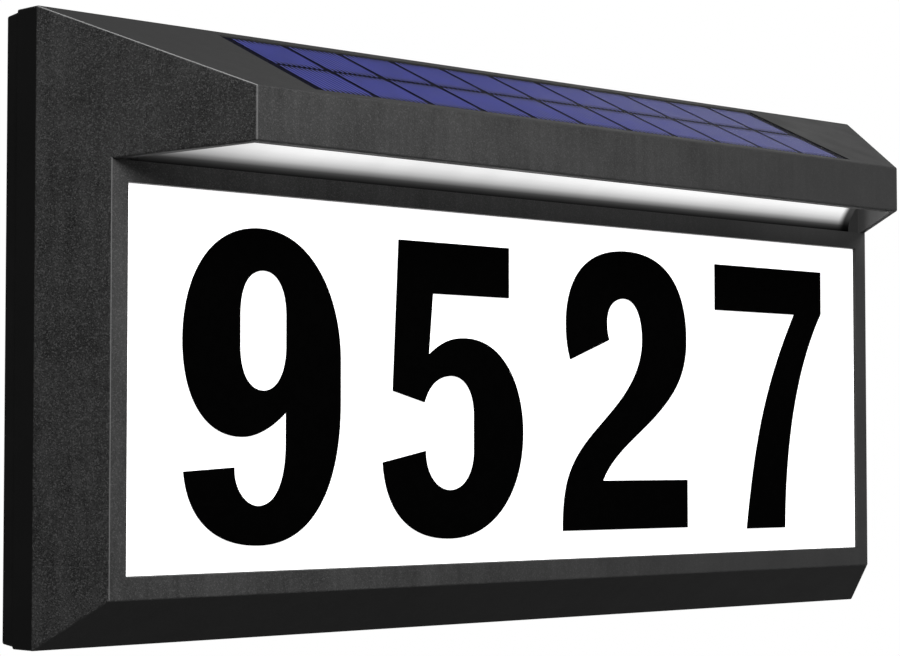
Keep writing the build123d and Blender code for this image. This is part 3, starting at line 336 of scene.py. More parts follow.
def painted_edge_highlights(finish, front):
    """Painted highlights on the mould's sharp left edges, where they catch the light."""
    roof = housing_plane(lambda normal, middle: normal.z > 0.8 and normal.y < -0.3)
    cheek = housing_plane(lambda normal, middle: normal.x < -0.7 and normal.y < -0.5)
    fascia = housing_plane(lambda normal, middle: normal.y < -0.99)
    behind_hood = -0.6 * fascia[1]
    frame_face = housing_plane(lambda normal, middle: normal.y < -0.99 and middle.y > behind_hood)

    def line(first, second, paleness):
        reach = [finish.math("ABSOLUTE", finish.height_above(*plane)) for plane in (first, second)]
        return finish.spread(finish.math("MAXIMUM", *reach), LINE_CORE, LINE_END, paleness, 0)

    hood_highlights = finish.math("MAXIMUM", line(roof, cheek, ROOF_HIGHLIGHT), line(cheek, fascia, FASCIA_HIGHLIGHT))
    frame_highlight = finish.product(line(cheek, frame_face, FRAME_HIGHLIGHT), front)
    return finish.math("MAXIMUM", hood_highlights, frame_highlight)


def lamp_light(finish, sides):
    """Light that the lamp throws on the cheeks' insides and on the wall and frame at the hood's far end."""
    on_cheeks = finish.product(sides["cheek_inside"], finish.along("Y", -43, -36, 0.060, 0.028))
    under_hood = finish.product(finish.along("Y", -50, -45, 0, 1), finish.along("Z", 32, 44, 0, 1))
    at_far_end = finish.product(sides["front"], under_hood, finish.along("X", 90, 150, 0, 0.021))
    return finish.total(on_cheeks, at_far_end)


def shell_finish():
    """Dark housing: coarse grain on its cheeks, blotches on its front, and a nearly smooth roof and bevel."""
    finish = Finish("shell_plastic", gray(0.045), 0.55, Specular_IOR_Level=0.3, Emission_Color=(1, 1, 1, 1))
    sides = shell_sides(finish)
    front_grain = finish.product(sides["front"], finish.along("X", -150, 100, 0.55, SMOOTH_GRAIN))
    coarse = finish.math("MAXIMUM", finish.math("MAXIMUM", sides["cheek"], SMOOTH_GRAIN), front_grain)
    grain = finish.crystals(GRAIN_SCALE)
    blotches = finish.noise(70, detail=5.0)
    plastic = shell_color(finish, sides, grain, coarse, blotches)
    # Painted highlights on the sharp edges, mixed into the base colour.
    finish.drive("Base Color", finish.blend(painted_edge_highlights(finish, sides["front"]), plastic, EDGE_HIGHLIGHT_COLOR))
    finish.drive("Emission Strength", lamp_light(finish, sides))
    duller_roof = finish.product(sides["roof"], finish.along("X", -120, 170, 0.03, 0.2))
    finish.drive("Roughness", finish.total(finish.spread(blotches, 0.3, 0.7, 0.5, 0.62), duller_roof))
    finish.bumps(finish.product(grain, coarse), 0.08 * MM, EDGE_RADIUS)
    return finish.material


def plate_finish():
    """White acrylic plate, evenly lit by the lamp."""
    finish = Finish("white_plate", gray(0.93), 0.4, Emission_Color=(1, 1, 1, 1), Emission_Strength=1.0)
    cloud = finish.noise(18, detail=3.0)
    finish.drive("Base Color", finish.blend(cloud, gray(0.92), gray(0.95)))
    finish.drive("Roughness", finish.spread(cloud, 0.3, 0.7, 0.36, 0.46))
    finish.bumps(finish.noise(900), 0.004 * MM)
    return finish.material


def digit_finish():
    """Dull black film."""
    finish = Finish("digit_film", gray(0.001), 0.8, Specular_IOR_Level=0.0)
    cloud = finish.noise(400, detail=3.0)
    finish.drive("Base Color", finish.blend(cloud, gray(0.0008), gray(0.0016)))
    finish.drive("Roughness", finish.spread(cloud, 0.3, 0.7, 0.75, 0.85))
    finish.bumps(cloud, 0.004 * MM)
    return finish.material


# Brightness of the lit cover at heights above its foot, in millimetres
GLOW = (
    (0.4, 0.004),
    (1.2, 0.018),
    (1.9, 0.05),
    (3.0, 0.27),
    (3.7, 0.49),
    (4.8, 0.72),
    (6.0, 0.89),
    (8.0, 1.0),
)
GLOW_HEIGHT = GLOW[-1][0]

# Share of the glow that is left on the end walls' front parts, in the left corner and at the far end
END_WALL_GLOW, LEFT_CORNER_GLOW, FAR_END_GLOW = 0.035, 0.72, 0.05
# The end walls are dark up to here and lit from there on, in millimetres behind the cover's front
END_WALL_DARK, END_WALL_LIT = 6, 17
FAR_END_FADE = 3.4 * MM  # width of the glow's soft end beside the right cheek


def diffuser_finish():
    """Milky cover of the lamp: its glow is dark at its foot, bright above and fading out at its two ends, and
    its base colour is painted darker there as painted shade.
    """
    low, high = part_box("light_diffuser")
    finish = Finish("milky_cover", gray(0.5), 0.6, Emission_Strength=1.0, Specular_IOR_Level=0.1)
    ramp = finish.add("ShaderNodeValToRGB")
    stops = ramp.color_ramp.elements
    stops[0].position = GLOW[0][0] / GLOW_HEIGHT
    for height, _ in GLOW[1:-1]:
        stops.new(height / GLOW_HEIGHT)
    for stop, (_, brightness) in zip(stops, GLOW):
        stop.color = (*gray(brightness), 1)
    foot, front = low.z / MM, low.y / MM
    rise = finish.along("Z", foot, foot + GLOW_HEIGHT, 0, 1)
    finish.join(rise, ramp.inputs["Fac"])

    end_wall = finish.spread(finish.math("ABSOLUTE", finish.facing()["X"]), 0.4, 0.6, 0, 1)
    dark, lit = front + END_WALL_DARK, front + END_WALL_LIT
    unlit = finish.along("Y", dark, lit, 1 - END_WALL_GLOW, 0, smooth=True)
    ends = finish.math("SUBTRACT", 1.0, finish.product(end_wall, unlit))
    left_corner = finish.along("X", -145, -95, LEFT_CORNER_GLOW, 1, smooth=True)
    inwards = Vector((-cos(SIDE_LEAN), sin(SIDE_LEAN), 0))
    from_right_cheek = finish.height_above(inwards, inwards.dot(high))
    far_end = finish.spread(from_right_cheek, 0, FAR_END_FADE, FAR_END_GLOW, 1, smooth=True)
    streaks = finish.spread(finish.noise(22, detail=3.0, stretch=(1, 0.4, 0.4)), 0.3, 0.7, 0.84, 1.06)
    level = finish.product(ends, left_corner, far_end, streaks)
    finish.drive("Emission Color", finish.blend(level, gray(0.0), ramp.outputs["Color"]))
    # Painted shade: the base colour is darker where the glow is weak, at the cover's foot and ends.
    finish.drive("Base Color", finish.blend(finish.product(level, rise), gray(0.003), gray(0.25)))
    finish.bumps(finish.noise(600), 0.01 * MM)
    return finish.material


CELL_LENGTH = 21.5 * MM  # of one cell with its teeth, along the slope
SIDE_GAP = 0.15 * MM  # taken off each side of a cell, as the photographed gaps are wider than in the CAD
GRID_SHRINK = 0.99  # across, so that the dark margins at the panel's ends are as wide as photographed
FINGERS = 10  # silver fingers across one cell
TEETH = 2.2 * MM  # length of the bare finger ends at a cell's two edges
CELL_UV = "cell_place"  # place on each cell: across and up the slope, both from 0 to 1

BOARD_NAVY = (0.0025, 0.0028, 0.010)
SILVERED_BLUE = (0.105, 0.113, 0.34)


def cell_finish():
    """Blue silicon with fine fingers down the slope; they end in teeth on the dark board. A painted sheen
    makes the silicon paler and greyer towards the right.
    """
    finish = Finish("silicon_cells", (0.04, 0.043, 0.19), 0.6, Specular_IOR_Level=0.04)
    crystals = finish.crystals(300)
    cloud = finish.noise(110, detail=3.0)
    grain = finish.total(finish.product(crystals, 0.35), finish.product(cloud, 0.65))
    grain = finish.spread(grain, 0.3, 0.7, 0, 1)
    silicon = finish.blend(grain, (0.010, 0.014, 0.125), (0.028, 0.031, 0.200))
    # Painted sheen: towards the right the silicon turns into this paler, greyer blue.
    silicon_painted_sheen = finish.blend(grain, (0.048, 0.050, 0.140), (0.066, 0.068, 0.170))
    base = finish.blend(finish.along("X", -30, 115, 0, 1, smooth=True), silicon, silicon_painted_sheen)

    place = finish.split(finish.add("ShaderNodeUVMap", uv_map=CELL_UV).outputs["UV"])
    wave = finish.math("SINE", finish.product(place["X"], 2 * pi * FINGERS))
    fingers = finish.spread(wave, -0.4, 0.8, 0, 0.85)
    silvered = finish.blend(fingers, base, SILVERED_BLUE)
    from_middle = finish.math("ABSOLUTE", finish.math("SUBTRACT", place["Y"], 0.5))
    at_edge = finish.math("GREATER_THAN", from_middle, 0.5 - TEETH / CELL_LENGTH)
    bare = finish.product(at_edge, finish.spread(wave, 0.0, 0.3, 1, 0))
    finish.drive("Base Color", finish.blend(bare, silvered, BOARD_NAVY))
    finish.drive("Roughness", finish.spread(crystals, 0, 1, 0.55, 0.65))
    finish.bumps(fingers, 0.01 * MM)
    return finish.material


def backing_finish():
    """Dark board with a fine weave."""
    finish = Finish("navy_backing", BOARD_NAVY, 0.7, Specular_IOR_Level=0.03)
    weave = finish.noise(1800, detail=1.0)
    finish.drive("Base Color", finish.blend(weave, (0.002, 0.002, 0.008), (0.004, 0.004, 0.014)))
    finish.bumps(weave, 0.01 * MM)
    return finish.material


def resin_finish():
    """Clear cast resin over the cells: only its gloss shows."""
    finish = Finish("clear_resin", (0.01, 0.01, 0.02), 0.25, Alpha=0.02)
    ripple = finish.noise(120, detail=2.0)
    finish.drive("Roughness", finish.spread(ripple, 0.3, 0.7, 0.2, 0.3))
    finish.bumps(ripple, 0.02 * MM)
    return finish.material


def metal_finish(name, color, roughness):
    """Plated metal with fine drawing marks."""
    finish = Finish(name, color, roughness, Metallic=1.0)
    marks = finish.noise(2500, detail=3.0)
    tarnish = finish.noise(350, detail=3.0)
    darker = tuple(0.72 * part for part in color)
    finish.drive("Base Color", finish.blend(finish.spread(tarnish, 0.35, 0.7, 0, 1), color, darker))
    finish.drive("Roughness", finish.spread(marks, 0.3, 0.7, roughness - 0.08, roughness + 0.1))
    finish.bumps(marks, 0.006 * MM)
    return finish.material


def rubber_finish(name, color, roughness=0.75):
    """Rubber or soft plastic with a faint paler bloom."""
    finish = Finish(name, color, roughness, Specular_IOR_Level=0.25)
    bloom = finish.noise(700, detail=4.0)
    paler = tuple(1.6 * part + 0.004 for part in color)
    finish.drive("Base Color", finish.blend(finish.spread(bloom, 0.4, 0.75, 0, 1), color, paler))
    finish.drive("Roughness", finish.spread(bloom, 0.3, 0.7, roughness - 0.08, roughness + 0.08))
    finish.bumps(bloom, 0.02 * MM)
    return finish.material


TRACK_PITCH = 2.4 * MM


def board_finish(name, mask, copper, roughness):
    """Circuit board: solder mask with straight tracks under it."""
    finish = Finish(name, mask, roughness, Coat_Weight=0.3, Coat_Roughness=0.2)
    place = finish.split(finish.place)
    runs = []
    for letter in ("X", "Z"):
        wave = finish.math("SINE", finish.product(place[letter], 2 * pi / TRACK_PITCH))
        runs.append(finish.spread(wave, 0.75, 0.85, 0, 1))
    patches = finish.spread(finish.crystals(140), 0.45, 0.5, 0, 1)
    across = finish.product(runs[0], patches)
    upright = finish.product(runs[1], finish.math("SUBTRACT", 1.0, patches))
    tracks = finish.total(across, upright)
    finish.drive("Base Color", finish.blend(tracks, mask, copper))
    finish.bumps(tracks, 0.03 * MM)
    return finish.material


def sleeve_finish(name, color):
    """Shrink sleeve: glossy, with faint stretch marks."""
    finish = Finish(name, color, 0.28, Coat_Weight=0.4, Coat_Roughness=0.1)
    marks = finish.noise(260, detail=3.0, stretch=(0.3, 1, 1))
    darker = tuple(0.75 * part for part in color)
    finish.drive("Base Color", finish.blend(marks, darker, color))
    finish.drive("Roughness", finish.spread(marks, 0.3, 0.7, 0.22, 0.34))
    finish.bumps(marks, 0.02 * MM)
    return finish.material


def floor_finish():
    """Pale matt floor with a little light of its own."""
    finish = Finish("pale_floor", gray(0.6), 0.7, Specular_IOR_Level=0.2)
    cloud = finish.noise(3, detail=4.0)
    finish.drive("Base Color", finish.blend(cloud, gray(0.58), gray(0.62)))
    finish.set(Emission_Color=(1, 1, 1, 1), Emission_Strength=0.6)
    finish.bumps(finish.noise(300), 0.05 * MM)
    return finish.material


finishes = {
    "shell": shell_finish(),
    "number_plate": plate_finish(),
    "digit_film": digit_finish(),
    "tape": rubber_finish("foam_tape", gray(0.55)),
    "solar_cells": cell_finish(),
    "solar_backing": backing_finish(),
    "clear_cover": resin_finish(),
    "diffuser": diffuser_finish(),
    "lamp_board": board_finish("lamp_board_mask", gray(0.75), gray(0.62), 0.4),
    "leds": rubber_finish("lamp_phosphor", (0.85, 0.62, 0.12), 0.4),
    "steel": metal_finish("zinc_plate", (0.62, 0.62, 0.60), 0.35),
    "seal": rubber_finish("black_rubber", gray(0.012)),
    "battery_wrap": sleeve_finish("green_sleeve", (0.03, 0.25, 0.13)),
    "contact": metal_finish("nickel_strip", (0.66, 0.63, 0.56), 0.28),
    "control_board": board_finish("board_mask", (0.008, 0.11, 0.035), (0.02, 0.22, 0.07), 0.4),
    "chip": moulded("chip_epoxy", gray(0.012), gray(0.03), 0.55, 0.02 * MM),
    "coil": moulded("ferrite", gray(0.02), gray(0.05), 0.6, 0.03 * MM),
    "capacitor": sleeve_finish("capacitor_sleeve", (0.03, 0.03, 0.05)),
    "white_plastic": moulded("white_nylon", gray(0.72), gray(0.80), 0.4, 0.01 * MM),
    "switch": moulded("switch_plastic", gray(0.012), gray(0.025), 0.45, 0.02 * MM),
    "plunger": moulded("plunger_plastic", gray(0.45), gray(0.55), 0.4, 0.01 * MM),
    "button": moulded("button_plastic", gray(0.11), gray(0.15), 0.5, 0.03 * MM),
    "red_wire": rubber_finish("red_insulation", (0.30, 0.012, 0.010), 0.45),
    "grey_wire": rubber_finish("dark_insulation", gray(0.03), 0.45),
}
copper = metal_finish("copper_wire", (0.70, 0.32, 0.16), 0.3)


def dress_nodes():
    """Each CAD node gets the finish of its own slot in the record."""
    for entry in frame["record"]["subparts"]:
        materials = nodes[entry["node"]].data.materials
        materials.clear()
        materials.append(finishes[entry["material_slot"]])


# --- Mesh helpers ---------------------------------------------------------------------------------

WALL = Matrix(((1, 0, 0, 0), (0, 0, -1, 0), (0, 1, 0, 0), (0, 0, 0, 1)))  # local Z comes out from the wall


def roof_plane():
    """Plane of the roof: local X across, local Y up the slope, local Z out of its face."""
    largest = max(nodes["solar_backing"].data.polygons, key=lambda face: face.area * (face.normal.z > 0))
    across = Vector((1, 0, 0))
    up_slope = largest.normal.cross(across)
    return Matrix((across, up_slope, largest.normal)).transposed().to_4x4()


ROOF = roof_plane()


def solids(node, plane):
    """Lowest and highest corner of each separate solid of a node, in a plane's axes, from left to right."""
    mesh = bmesh.new()
    mesh.from_mesh(nodes[node].data)
    bmesh.ops.remove_doubles(mesh, verts=mesh.verts, dist=0.001 * MM)
    mesh.transform(plane.inverted())
    mesh.verts.index_update()
    seen = set()
    boxes = []
    for start in mesh.verts:
        if start.index in seen:
            continue
        seen.add(start.index)
        queue = [start]
        for vert in queue:
            for edge in vert.link_edges:
                other = edge.other_vert(vert)
                if other.index not in seen:
                    seen.add(other.index)
                    queue.append(other)
        low = Vector([min(vert.co[i] for vert in queue) for i in range(3)])
        high = Vector([max(vert.co[i] for vert in queue) for i in range(3)])
        boxes.append((low, high))
    mesh.free()
    return sorted(boxes, key=lambda box: (round(box[0].x, 5), round(box[0].y, 5)))


SHARPEST_SMOOTH = radians(35)  # steeper edges between two faces stay sharp


def piece(name, mesh, slot, body="sign", stands_for=(), finish=None):
    """Makes an object of a finished mesh, gives it its finish and hangs it on its body."""
    bmesh.ops.recalc_face_normals(mesh, faces=mesh.faces)
    data = bpy.data.meshes.new(name)
    mesh.to_mesh(data)
    mesh.free()
    data.shade_smooth()
    data.set_sharp_from_angle(angle=SHARPEST_SMOOTH)
    data.materials.append(finish or finishes[slot])
    thing = bpy.data.objects.new(name, data)
    scene.collection.objects.link(thing)
    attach(thing, body)
    if stands_for:
        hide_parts(*stands_for)


def turned(mesh, profile, matrix, steps):
    """Adds a solid of revolution about a local Z axis; its profile runs from pole to pole as (radius, z)."""
    turn = 2 * pi / steps
    rings = []
    for radius, z in profile:
        count = steps if radius > 0 else 1
        places = [Vector((radius * cos(turn * i), radius * sin(turn * i), z)) for i in range(count)]
        rings.append([mesh.verts.new(matrix @ place) for place in places])
    for lower, upper in zip(rings, rings[1:]):
        for i in range(steps):
            j = (i + 1) % steps
            below = (lower[i % len(lower)], lower[j % len(lower)])
            above = (upper[j % len(upper)], upper[i % len(upper)])
            corners = list(dict.fromkeys(below + above))
            if len(corners) > 2:
                mesh.faces.new(corners)


def cylinder(mesh, radius, bottom, top, matrix, steps):
    """Adds a round disc or bar along a local Z axis."""
    turned(mesh, [(0, bottom), (radius, bottom), (radius, top), (0, top)], matrix, steps)


def block(mesh, low, high, matrix, bevel=0.0, segments=2):
    """Adds a box between two corners, with its edges rounded."""
    low, high = Vector(low), Vector(high)
    size = high - low
    place = matrix @ Matrix.Translation((low + high) / 2) @ Matrix.Diagonal((*size, 1))
    made = bmesh.ops.create_cube(mesh, size=1.0, matrix=place)
    if bevel:
        edges = list({edge for vert in made["verts"] for edge in vert.link_edges})
        edges.sort(key=lambda edge: tuple(round(part, 7) for vert in edge.verts for part in vert.co))
        bmesh.ops.bevel(mesh, geom=edges, offset=bevel, segments=segments, affect="EDGES", profile=0.5)


THREAD_STEPS = 14  # a turn


def thread(mesh, radius, depth, pitch, start, end):
    """Adds a screw thread along Z: a ridge wound round a shank, fading out at both ends."""
    count = int((end - start) / pitch * THREAD_STEPS)
    root = 0.96 * radius  # a little inside the shank
    rows = []
    for i in range(count + 1):
        angle = 2 * pi * i / THREAD_STEPS
        z = start + (end - start) * i / count
        fade = min(1.0, 3 * min(i, count - i) / THREAD_STEPS)
        row = ((root, z - pitch / 3), (radius + depth * fade, z), (root, z + pitch / 3))
        rows.append([mesh.verts.new((r * cos(angle), r * sin(angle), h)) for r, h in row])
    for first, second in zip(rows, rows[1:]):
        for i in range(3):
            j = (i + 1) % 3
            mesh.faces.new((first[i], first[j], second[j], second[i]))
    mesh.faces.new(rows[0])
    mesh.faces.new(rows[-1])


def carved(body, cutter):
    """The body with the cutter's shape taken out of it."""
    things = []
    for mesh in (body, cutter):
        bmesh.ops.recalc_face_normals(mesh, faces=mesh.faces)
        data = bpy.data.meshes.new("carving")
        mesh.to_mesh(data)
        mesh.free()
        thing = bpy.data.objects.new("carving", data)
        scene.collection.objects.link(thing)
        things.append(thing)
    cut = things[0].modifiers.new("cut", "BOOLEAN")
    cut.operation = "DIFFERENCE"
    cut.solver = "EXACT"
    cut.object = things[1]
    result = bmesh.new()
    result.from_object(things[0], bpy.context.evaluated_depsgraph_get())
    for thing in things:
        data = thing.data
        bpy.data.objects.remove(thing)
        bpy.data.meshes.remove(data)
    return result


# --- Fasteners ------------------------------------------------------------------------------------


def screw_mesh(head_radius, head_height, shank_radius, length):
    """Pan-head screw along local Z: its head below z = 0, its tip above, with a cross recess and a thread."""
    core = 0.78 * shank_radius  # under the thread
    profile = [
        (0, -head_height),
        (0.45 * head_radius, -0.98 * head_height),
        (0.78 * head_radius, -0.86 * head_height),
        (0.95 * head_radius, -0.62 * head_height),
        (head_radius, -0.34 * head_height),
        (head_radius, -0.06 * head_height),
        (0.97 * head_radius, 0),
        (core, 0),
        (core, 0.86 * length),
        (0.3 * core, 0.98 * length),
        (0, length),
    ]
    head = bmesh.new()
    turned(head, profile, Matrix.Identity(4), steps=40)
    cutter = bmesh.new()
    arm, half_width, floor = 0.58 * head_radius, 0.13 * head_radius, -0.42 * head_height
    unlevel = Matrix.Rotation(0.001, 4, "X")  # keeps the two slots' faces out of one plane
    for turn in (0, pi / 2):
        place = Matrix.Rotation(turn, 4, "Z") @ unlevel
        block(cutter, (-arm, -half_width, -1.5 * head_height), (arm, half_width, floor), place)
    mesh = carved(head, cutter)
    depth, pitch = shank_radius - core, 0.84 * shank_radius
    thread(mesh, core, depth, pitch, 0.12 * length, 0.9 * length)
    return mesh


HEAD_SHARE = 0.97  # of the plain screw's head radius
FIRST_TURN, NEXT_TURN = 0.7, 1.9  # radians, so that the crosses point different ways


def add_screws(name, node, plane, tip_up, head_height, shank_share):
    """Detailed screws in place of a node's plain ones; tip_up says whether they point along local +Z."""
    boxes = solids(node, plane)
    low, high = boxes[0]
    head_radius = (high.x - low.x) / 2 * HEAD_SHARE
    length = high.z - low.z - head_height
    pattern = screw_mesh(head_radius, head_height, shank_share * head_radius, length)
    pattern_data = bpy.data.meshes.new("pattern")
    pattern.to_mesh(pattern_data)
    pattern.free()
    flip = Matrix.Identity(4) if tip_up else Matrix.Rotation(pi, 4, "X")
    group = bmesh.new()
    for index, (low, high) in enumerate(boxes):
        middle = (low + high) / 2
        under_head = low.z + head_height if tip_up else high.z - head_height
        turn = Matrix.Rotation(FIRST_TURN + NEXT_TURN * index, 4, "Z")
        place = plane @ Matrix.Translation((middle.x, middle.y, under_head)) @ flip @ turn
        start = len(group.verts)
        group.from_mesh(pattern_data)
        group.verts.ensure_lookup_table()
        bmesh.ops.transform(group, matrix=place, verts=group.verts[start:])
    bpy.data.meshes.remove(pattern_data)
    piece(name, group, "steel", stands_for=(node,))


def add_fasteners():
    """All screws; the last two numbers are the head's height and the shank's share of the head's radius."""
    add_screws("closing_screws", "housing_screws", WALL, True, 2.2 * MM, 0.5)
    add_screws("hatch_cross_screws", "hatch_screws", WALL, True, 1.4 * MM, 0.54)
    add_screws("board_screws", "control_board_screws", WALL, False, 1.6 * MM, 0.54)
    add_screws("lamp_board_screws", "led_board_screws", ROOF, True, 1.2 * MM, 0.52)


# --- Solar panel, lamp and button -----------------------------------------------------------------

# Depths below the roof of the board's face, the cells' face and the resin's face
BOARD_DEPTH, CELL_DEPTH, RESIN_DEPTH = 0.42 * MM, 0.30 * MM, 0.08 * MM
RESIN_FOOT = 0.02 * MM  # the resin starts this far above the board's face


def add_solar_panel():
    """Solar panel nearly flush with the roof, as photographed: its board, toothed cells and clear resin."""
    roof_height = max((ROOF.inverted() @ vert.co).z for vert in nodes["front_housing"].data.vertices)
    board_top = roof_height - BOARD_DEPTH
    cell_top = roof_height - CELL_DEPTH
    resin_top = roof_height - RESIN_DEPTH
    ((low, high),) = solids("solar_backing", ROOF)
    board = bmesh.new()
    block(board, low, (high.x, high.y, board_top), ROOF, bevel=0.1 * MM, segments=1)
    piece("panel_board", board, "solar_backing", stands_for=("solar_backing",))

    cells = bmesh.new()
    uv = cells.loops.layers.uv.new(CELL_UV)
    for low, high in solids("solar_cells", ROOF):
        middle, half = (low + high) / 2, (high - low) / 2
        half.y = CELL_LENGTH / 2
        half.x -= SIDE_GAP
        middle.x *= GRID_SHRINK
        start = len(cells.faces)
        corner = (middle.x + half.x, middle.y + half.y, cell_top)
        block(cells, (middle.x - half.x, middle.y - half.y, board_top), corner, ROOF)
        cells.faces.ensure_lookup_table()
        for face in cells.faces[start:]:
            for loop in face.loops:
                place = ROOF.inverted() @ loop.vert.co - middle + half
                loop[uv].uv = (place.x / half.x / 2, place.y / half.y / 2)
    piece("cell_plates", cells, "solar_cells", stands_for=("solar_cells",))

    ((low, high),) = solids("solar_cover", ROOF)
    resin = bmesh.new()
    corner = (high.x, high.y, resin_top)
    block(resin, (low.x, low.y, board_top + RESIN_FOOT), corner, ROOF, bevel=0.1 * MM)
    piece("resin_cover", resin, "clear_cover", stands_for=("solar_cover",))


def add_lamps():
    """Each lamp: a white frame with a domed yellow fill and two solder ends."""
    frames = bmesh.new()
    fills = bmesh.new()
    ends = bmesh.new()
    for low, high in solids("leds", ROOF):
        middle, size = (low + high) / 2, high - low
        base = ROOF @ Matrix.Translation((middle.x, middle.y, high.z)) @ Matrix.Rotation(pi, 4, "X")
        half_x, half_y = 0.86 * size.x / 2, size.y / 2
        corner = (half_x, half_y, size.z)
        block(frames, (-half_x, -half_y, 0.05 * MM), corner, base, bevel=0.12 * MM)
        dish = 0.40 * size.y
        dome = [(0, size.z), (dish, 0.99 * size.z), (dish, 0.5 * size.z), (0, 0.5 * size.z)]
        turned(fills, dome, base @ Matrix.Translation((0, 0, 0.02 * MM)), steps=20)
        end_y, end_height = 0.8 * half_y, 0.35 * size.z
        for side in (-1, 1):
            left, right = sorted((side * size.x / 2, side * 0.8 * half_x))
            block(ends, (left, -end_y, 0), (right, end_y, end_height), base, bevel=0.06 * MM)
    piece("lamp_frames", frames, "leds", stands_for=("leds",), finish=finishes["white_plastic"])
    piece("lamp_fills", fills, "leds")
    piece("lamp_solder", ends, "steel")


def add_button_cap():
    """Push button with a rounded rim, a dished face and a raised ring, on its flange and stem."""
    ((low, high),) = solids("power_button", WALL)
    ((_, seal_high),) = solids("button_seal", WALL)
    middle = (low + high) / 2
    cap = 4.85 * MM
    flange = (high.x - low.x) / 2 / 1.03  # a little narrower than the plain one
    stem = 2.0 * MM
    rear, seat = low.z, seal_high.z
    flange_front = seat + 1.5 * MM
    profile = [
        (0, rear + 0.35 * MM),
        (0.30 * cap, rear + 0.33 * MM),
        (0.55 * cap, rear + 0.22 * MM),
        (0.60 * cap, rear + 0.06 * MM),
        (0.66 * cap, rear),
        (0.72 * cap, rear + 0.06 * MM),
        (0.78 * cap, rear + 0.14 * MM),
        (0.90 * cap, rear + 0.10 * MM),
        (0.97 * cap, rear + 0.22 * MM),
        (cap, rear + 0.5 * MM),
        (cap, seat),
        (flange - 0.15 * MM, seat),
        (flange, seat + 0.15 * MM),
        (flange, flange_front - 0.15 * MM),
        (flange - 0.15 * MM, flange_front),
        (stem + 0.3 * MM, flange_front),
        (stem, flange_front + 0.3 * MM),
        (stem, high.z),
        (0, high.z),
    ]
    mesh = bmesh.new()
    turned(mesh, profile, WALL @ Matrix.Translation((middle.x, middle.y, 0)), steps=64)
    piece("button_cap", mesh, "button", body="button", stands_for=("power_button",))


# --- Battery and board parts ----------------------------------------------------------------------

AXIS_X = Matrix.Rotation(pi / 2, 4, "Y")  # local Z along the sign's X


def add_cell():
    """Round lithium cell: a sleeve with rolled ends, an insulating ring and the raised plus end."""
    low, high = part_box("battery")
    radius = (high.z - low.z) / 2
    place = Matrix.Translation((0, (low.y + high.y) / 2, (low.z + high.z) / 2)) @ AXIS_X
    nub = 1.5 * MM
    start, end = low.x + nub, high.x
    sleeve = bmesh.new()
    wrap = [
        (0.72 * radius, start + 0.25 * MM),
        (0.76 * radius, start + 0.02 * MM),
        (0.93 * radius, start),
        (0.99 * radius, start + 0.5 * MM),
        (0.985 * radius, start + 1.6 * MM),
        (0.955 * radius, start + 2.4 * MM),
        (0.955 * radius, start + 3.2 * MM),
        (0.995 * radius, start + 4.2 * MM),
        (radius, start + 6.0 * MM),
        (radius, end - 1.2 * MM),
        (0.98 * radius, end - 0.3 * MM),
        (0.92 * radius, end),
        (0.80 * radius, end),
        (0.78 * radius, end - 0.2 * MM),
    ]
    turned(sleeve, [(0, wrap[0][1]), *wrap, (0, wrap[-1][1])], place, steps=48)
    piece("cell_sleeve", sleeve, "battery_wrap", stands_for=("battery",))

    metal = bmesh.new()
    plus = [
        (0, start - nub),
        (0.24 * radius, start - nub),
        (0.30 * radius, start - 0.8 * nub),
        (0.33 * radius, start - 0.1 * nub),
        (0.45 * radius, start),
        (0.60 * radius, start + 0.05 * MM),
        (0.60 * radius, start + 0.4 * MM),
        (0, start + 0.4 * MM),
    ]
    turned(metal, plus, place, steps=40)
    minus = [(0, end - 0.35 * MM), (0.77 * radius, end - 0.35 * MM), (0.77 * radius, end - 0.12 * MM)]
    turned(metal, [*minus, (0.7 * radius, end - 0.05 * MM), (0, end - 0.05 * MM)], place, steps=40)
    piece("cell_ends", metal, "contact")

    ring = bmesh.new()
    cylinder(ring, 0.70 * radius, start + 0.1 * MM, start + 0.3 * MM, place, steps=40)
    piece("cell_insulator", ring, "white_plastic")


CHIP_INSET = 0.9  # of the chip's body from the tips of its legs, in millimetres
LEG_PITCH = 1.27 * MM
LEGS_A_SIDE = 6
# Foot, knee and arm of a leg, in millimetres: nearest to the body, farthest from it, lowest and highest
LEG_PARTS = ((0.4, CHIP_INSET, 0, 0.2), (0.25, 0.5, 0, 0.9), (-0.05, 0.5, 0.72, 0.92))


def add_chip():
    """Controller with its row of bent legs on each long side and the dot of its first pin."""
    ((low, high),) = solids("controller_chip", WALL)
    middle = (low + high) / 2
    bottom, top = low.y + CHIP_INSET * MM, high.y - CHIP_INSET * MM
    body = bmesh.new()
    corner = (high.x, top, high.z)
    block(body, (low.x, bottom, low.z + 0.15 * MM), corner, WALL, bevel=0.15 * MM)
    cutter = bmesh.new()
    dot = WALL @ Matrix.Translation((low.x + 1.1 * MM, top - 1.0 * MM, high.z))
    cylinder(cutter, 0.35 * MM, -0.1 * MM, 1 * MM, dot, steps=20)
    piece("chip_body", carved(body, cutter), "chip", stands_for=("controller_chip",))

    legs = bmesh.new()
    half_width = 0.2 * MM
    for i in range(LEGS_A_SIDE):
        x = middle.x + (i - (LEGS_A_SIDE - 1) / 2) * LEG_PITCH
        left, right = x - half_width, x + half_width
        for side, edge in ((-1, bottom), (1, top)):
            for near, far, lowest, highest in LEG_PARTS:
                start, end = sorted((edge + side * near * MM, edge + side * far * MM))
                corner = (left, start, low.z + lowest * MM)
                block(legs, corner, (right, end, low.z + highest * MM), WALL, bevel=0.04 * MM)
    piece("chip_legs", legs, "steel")


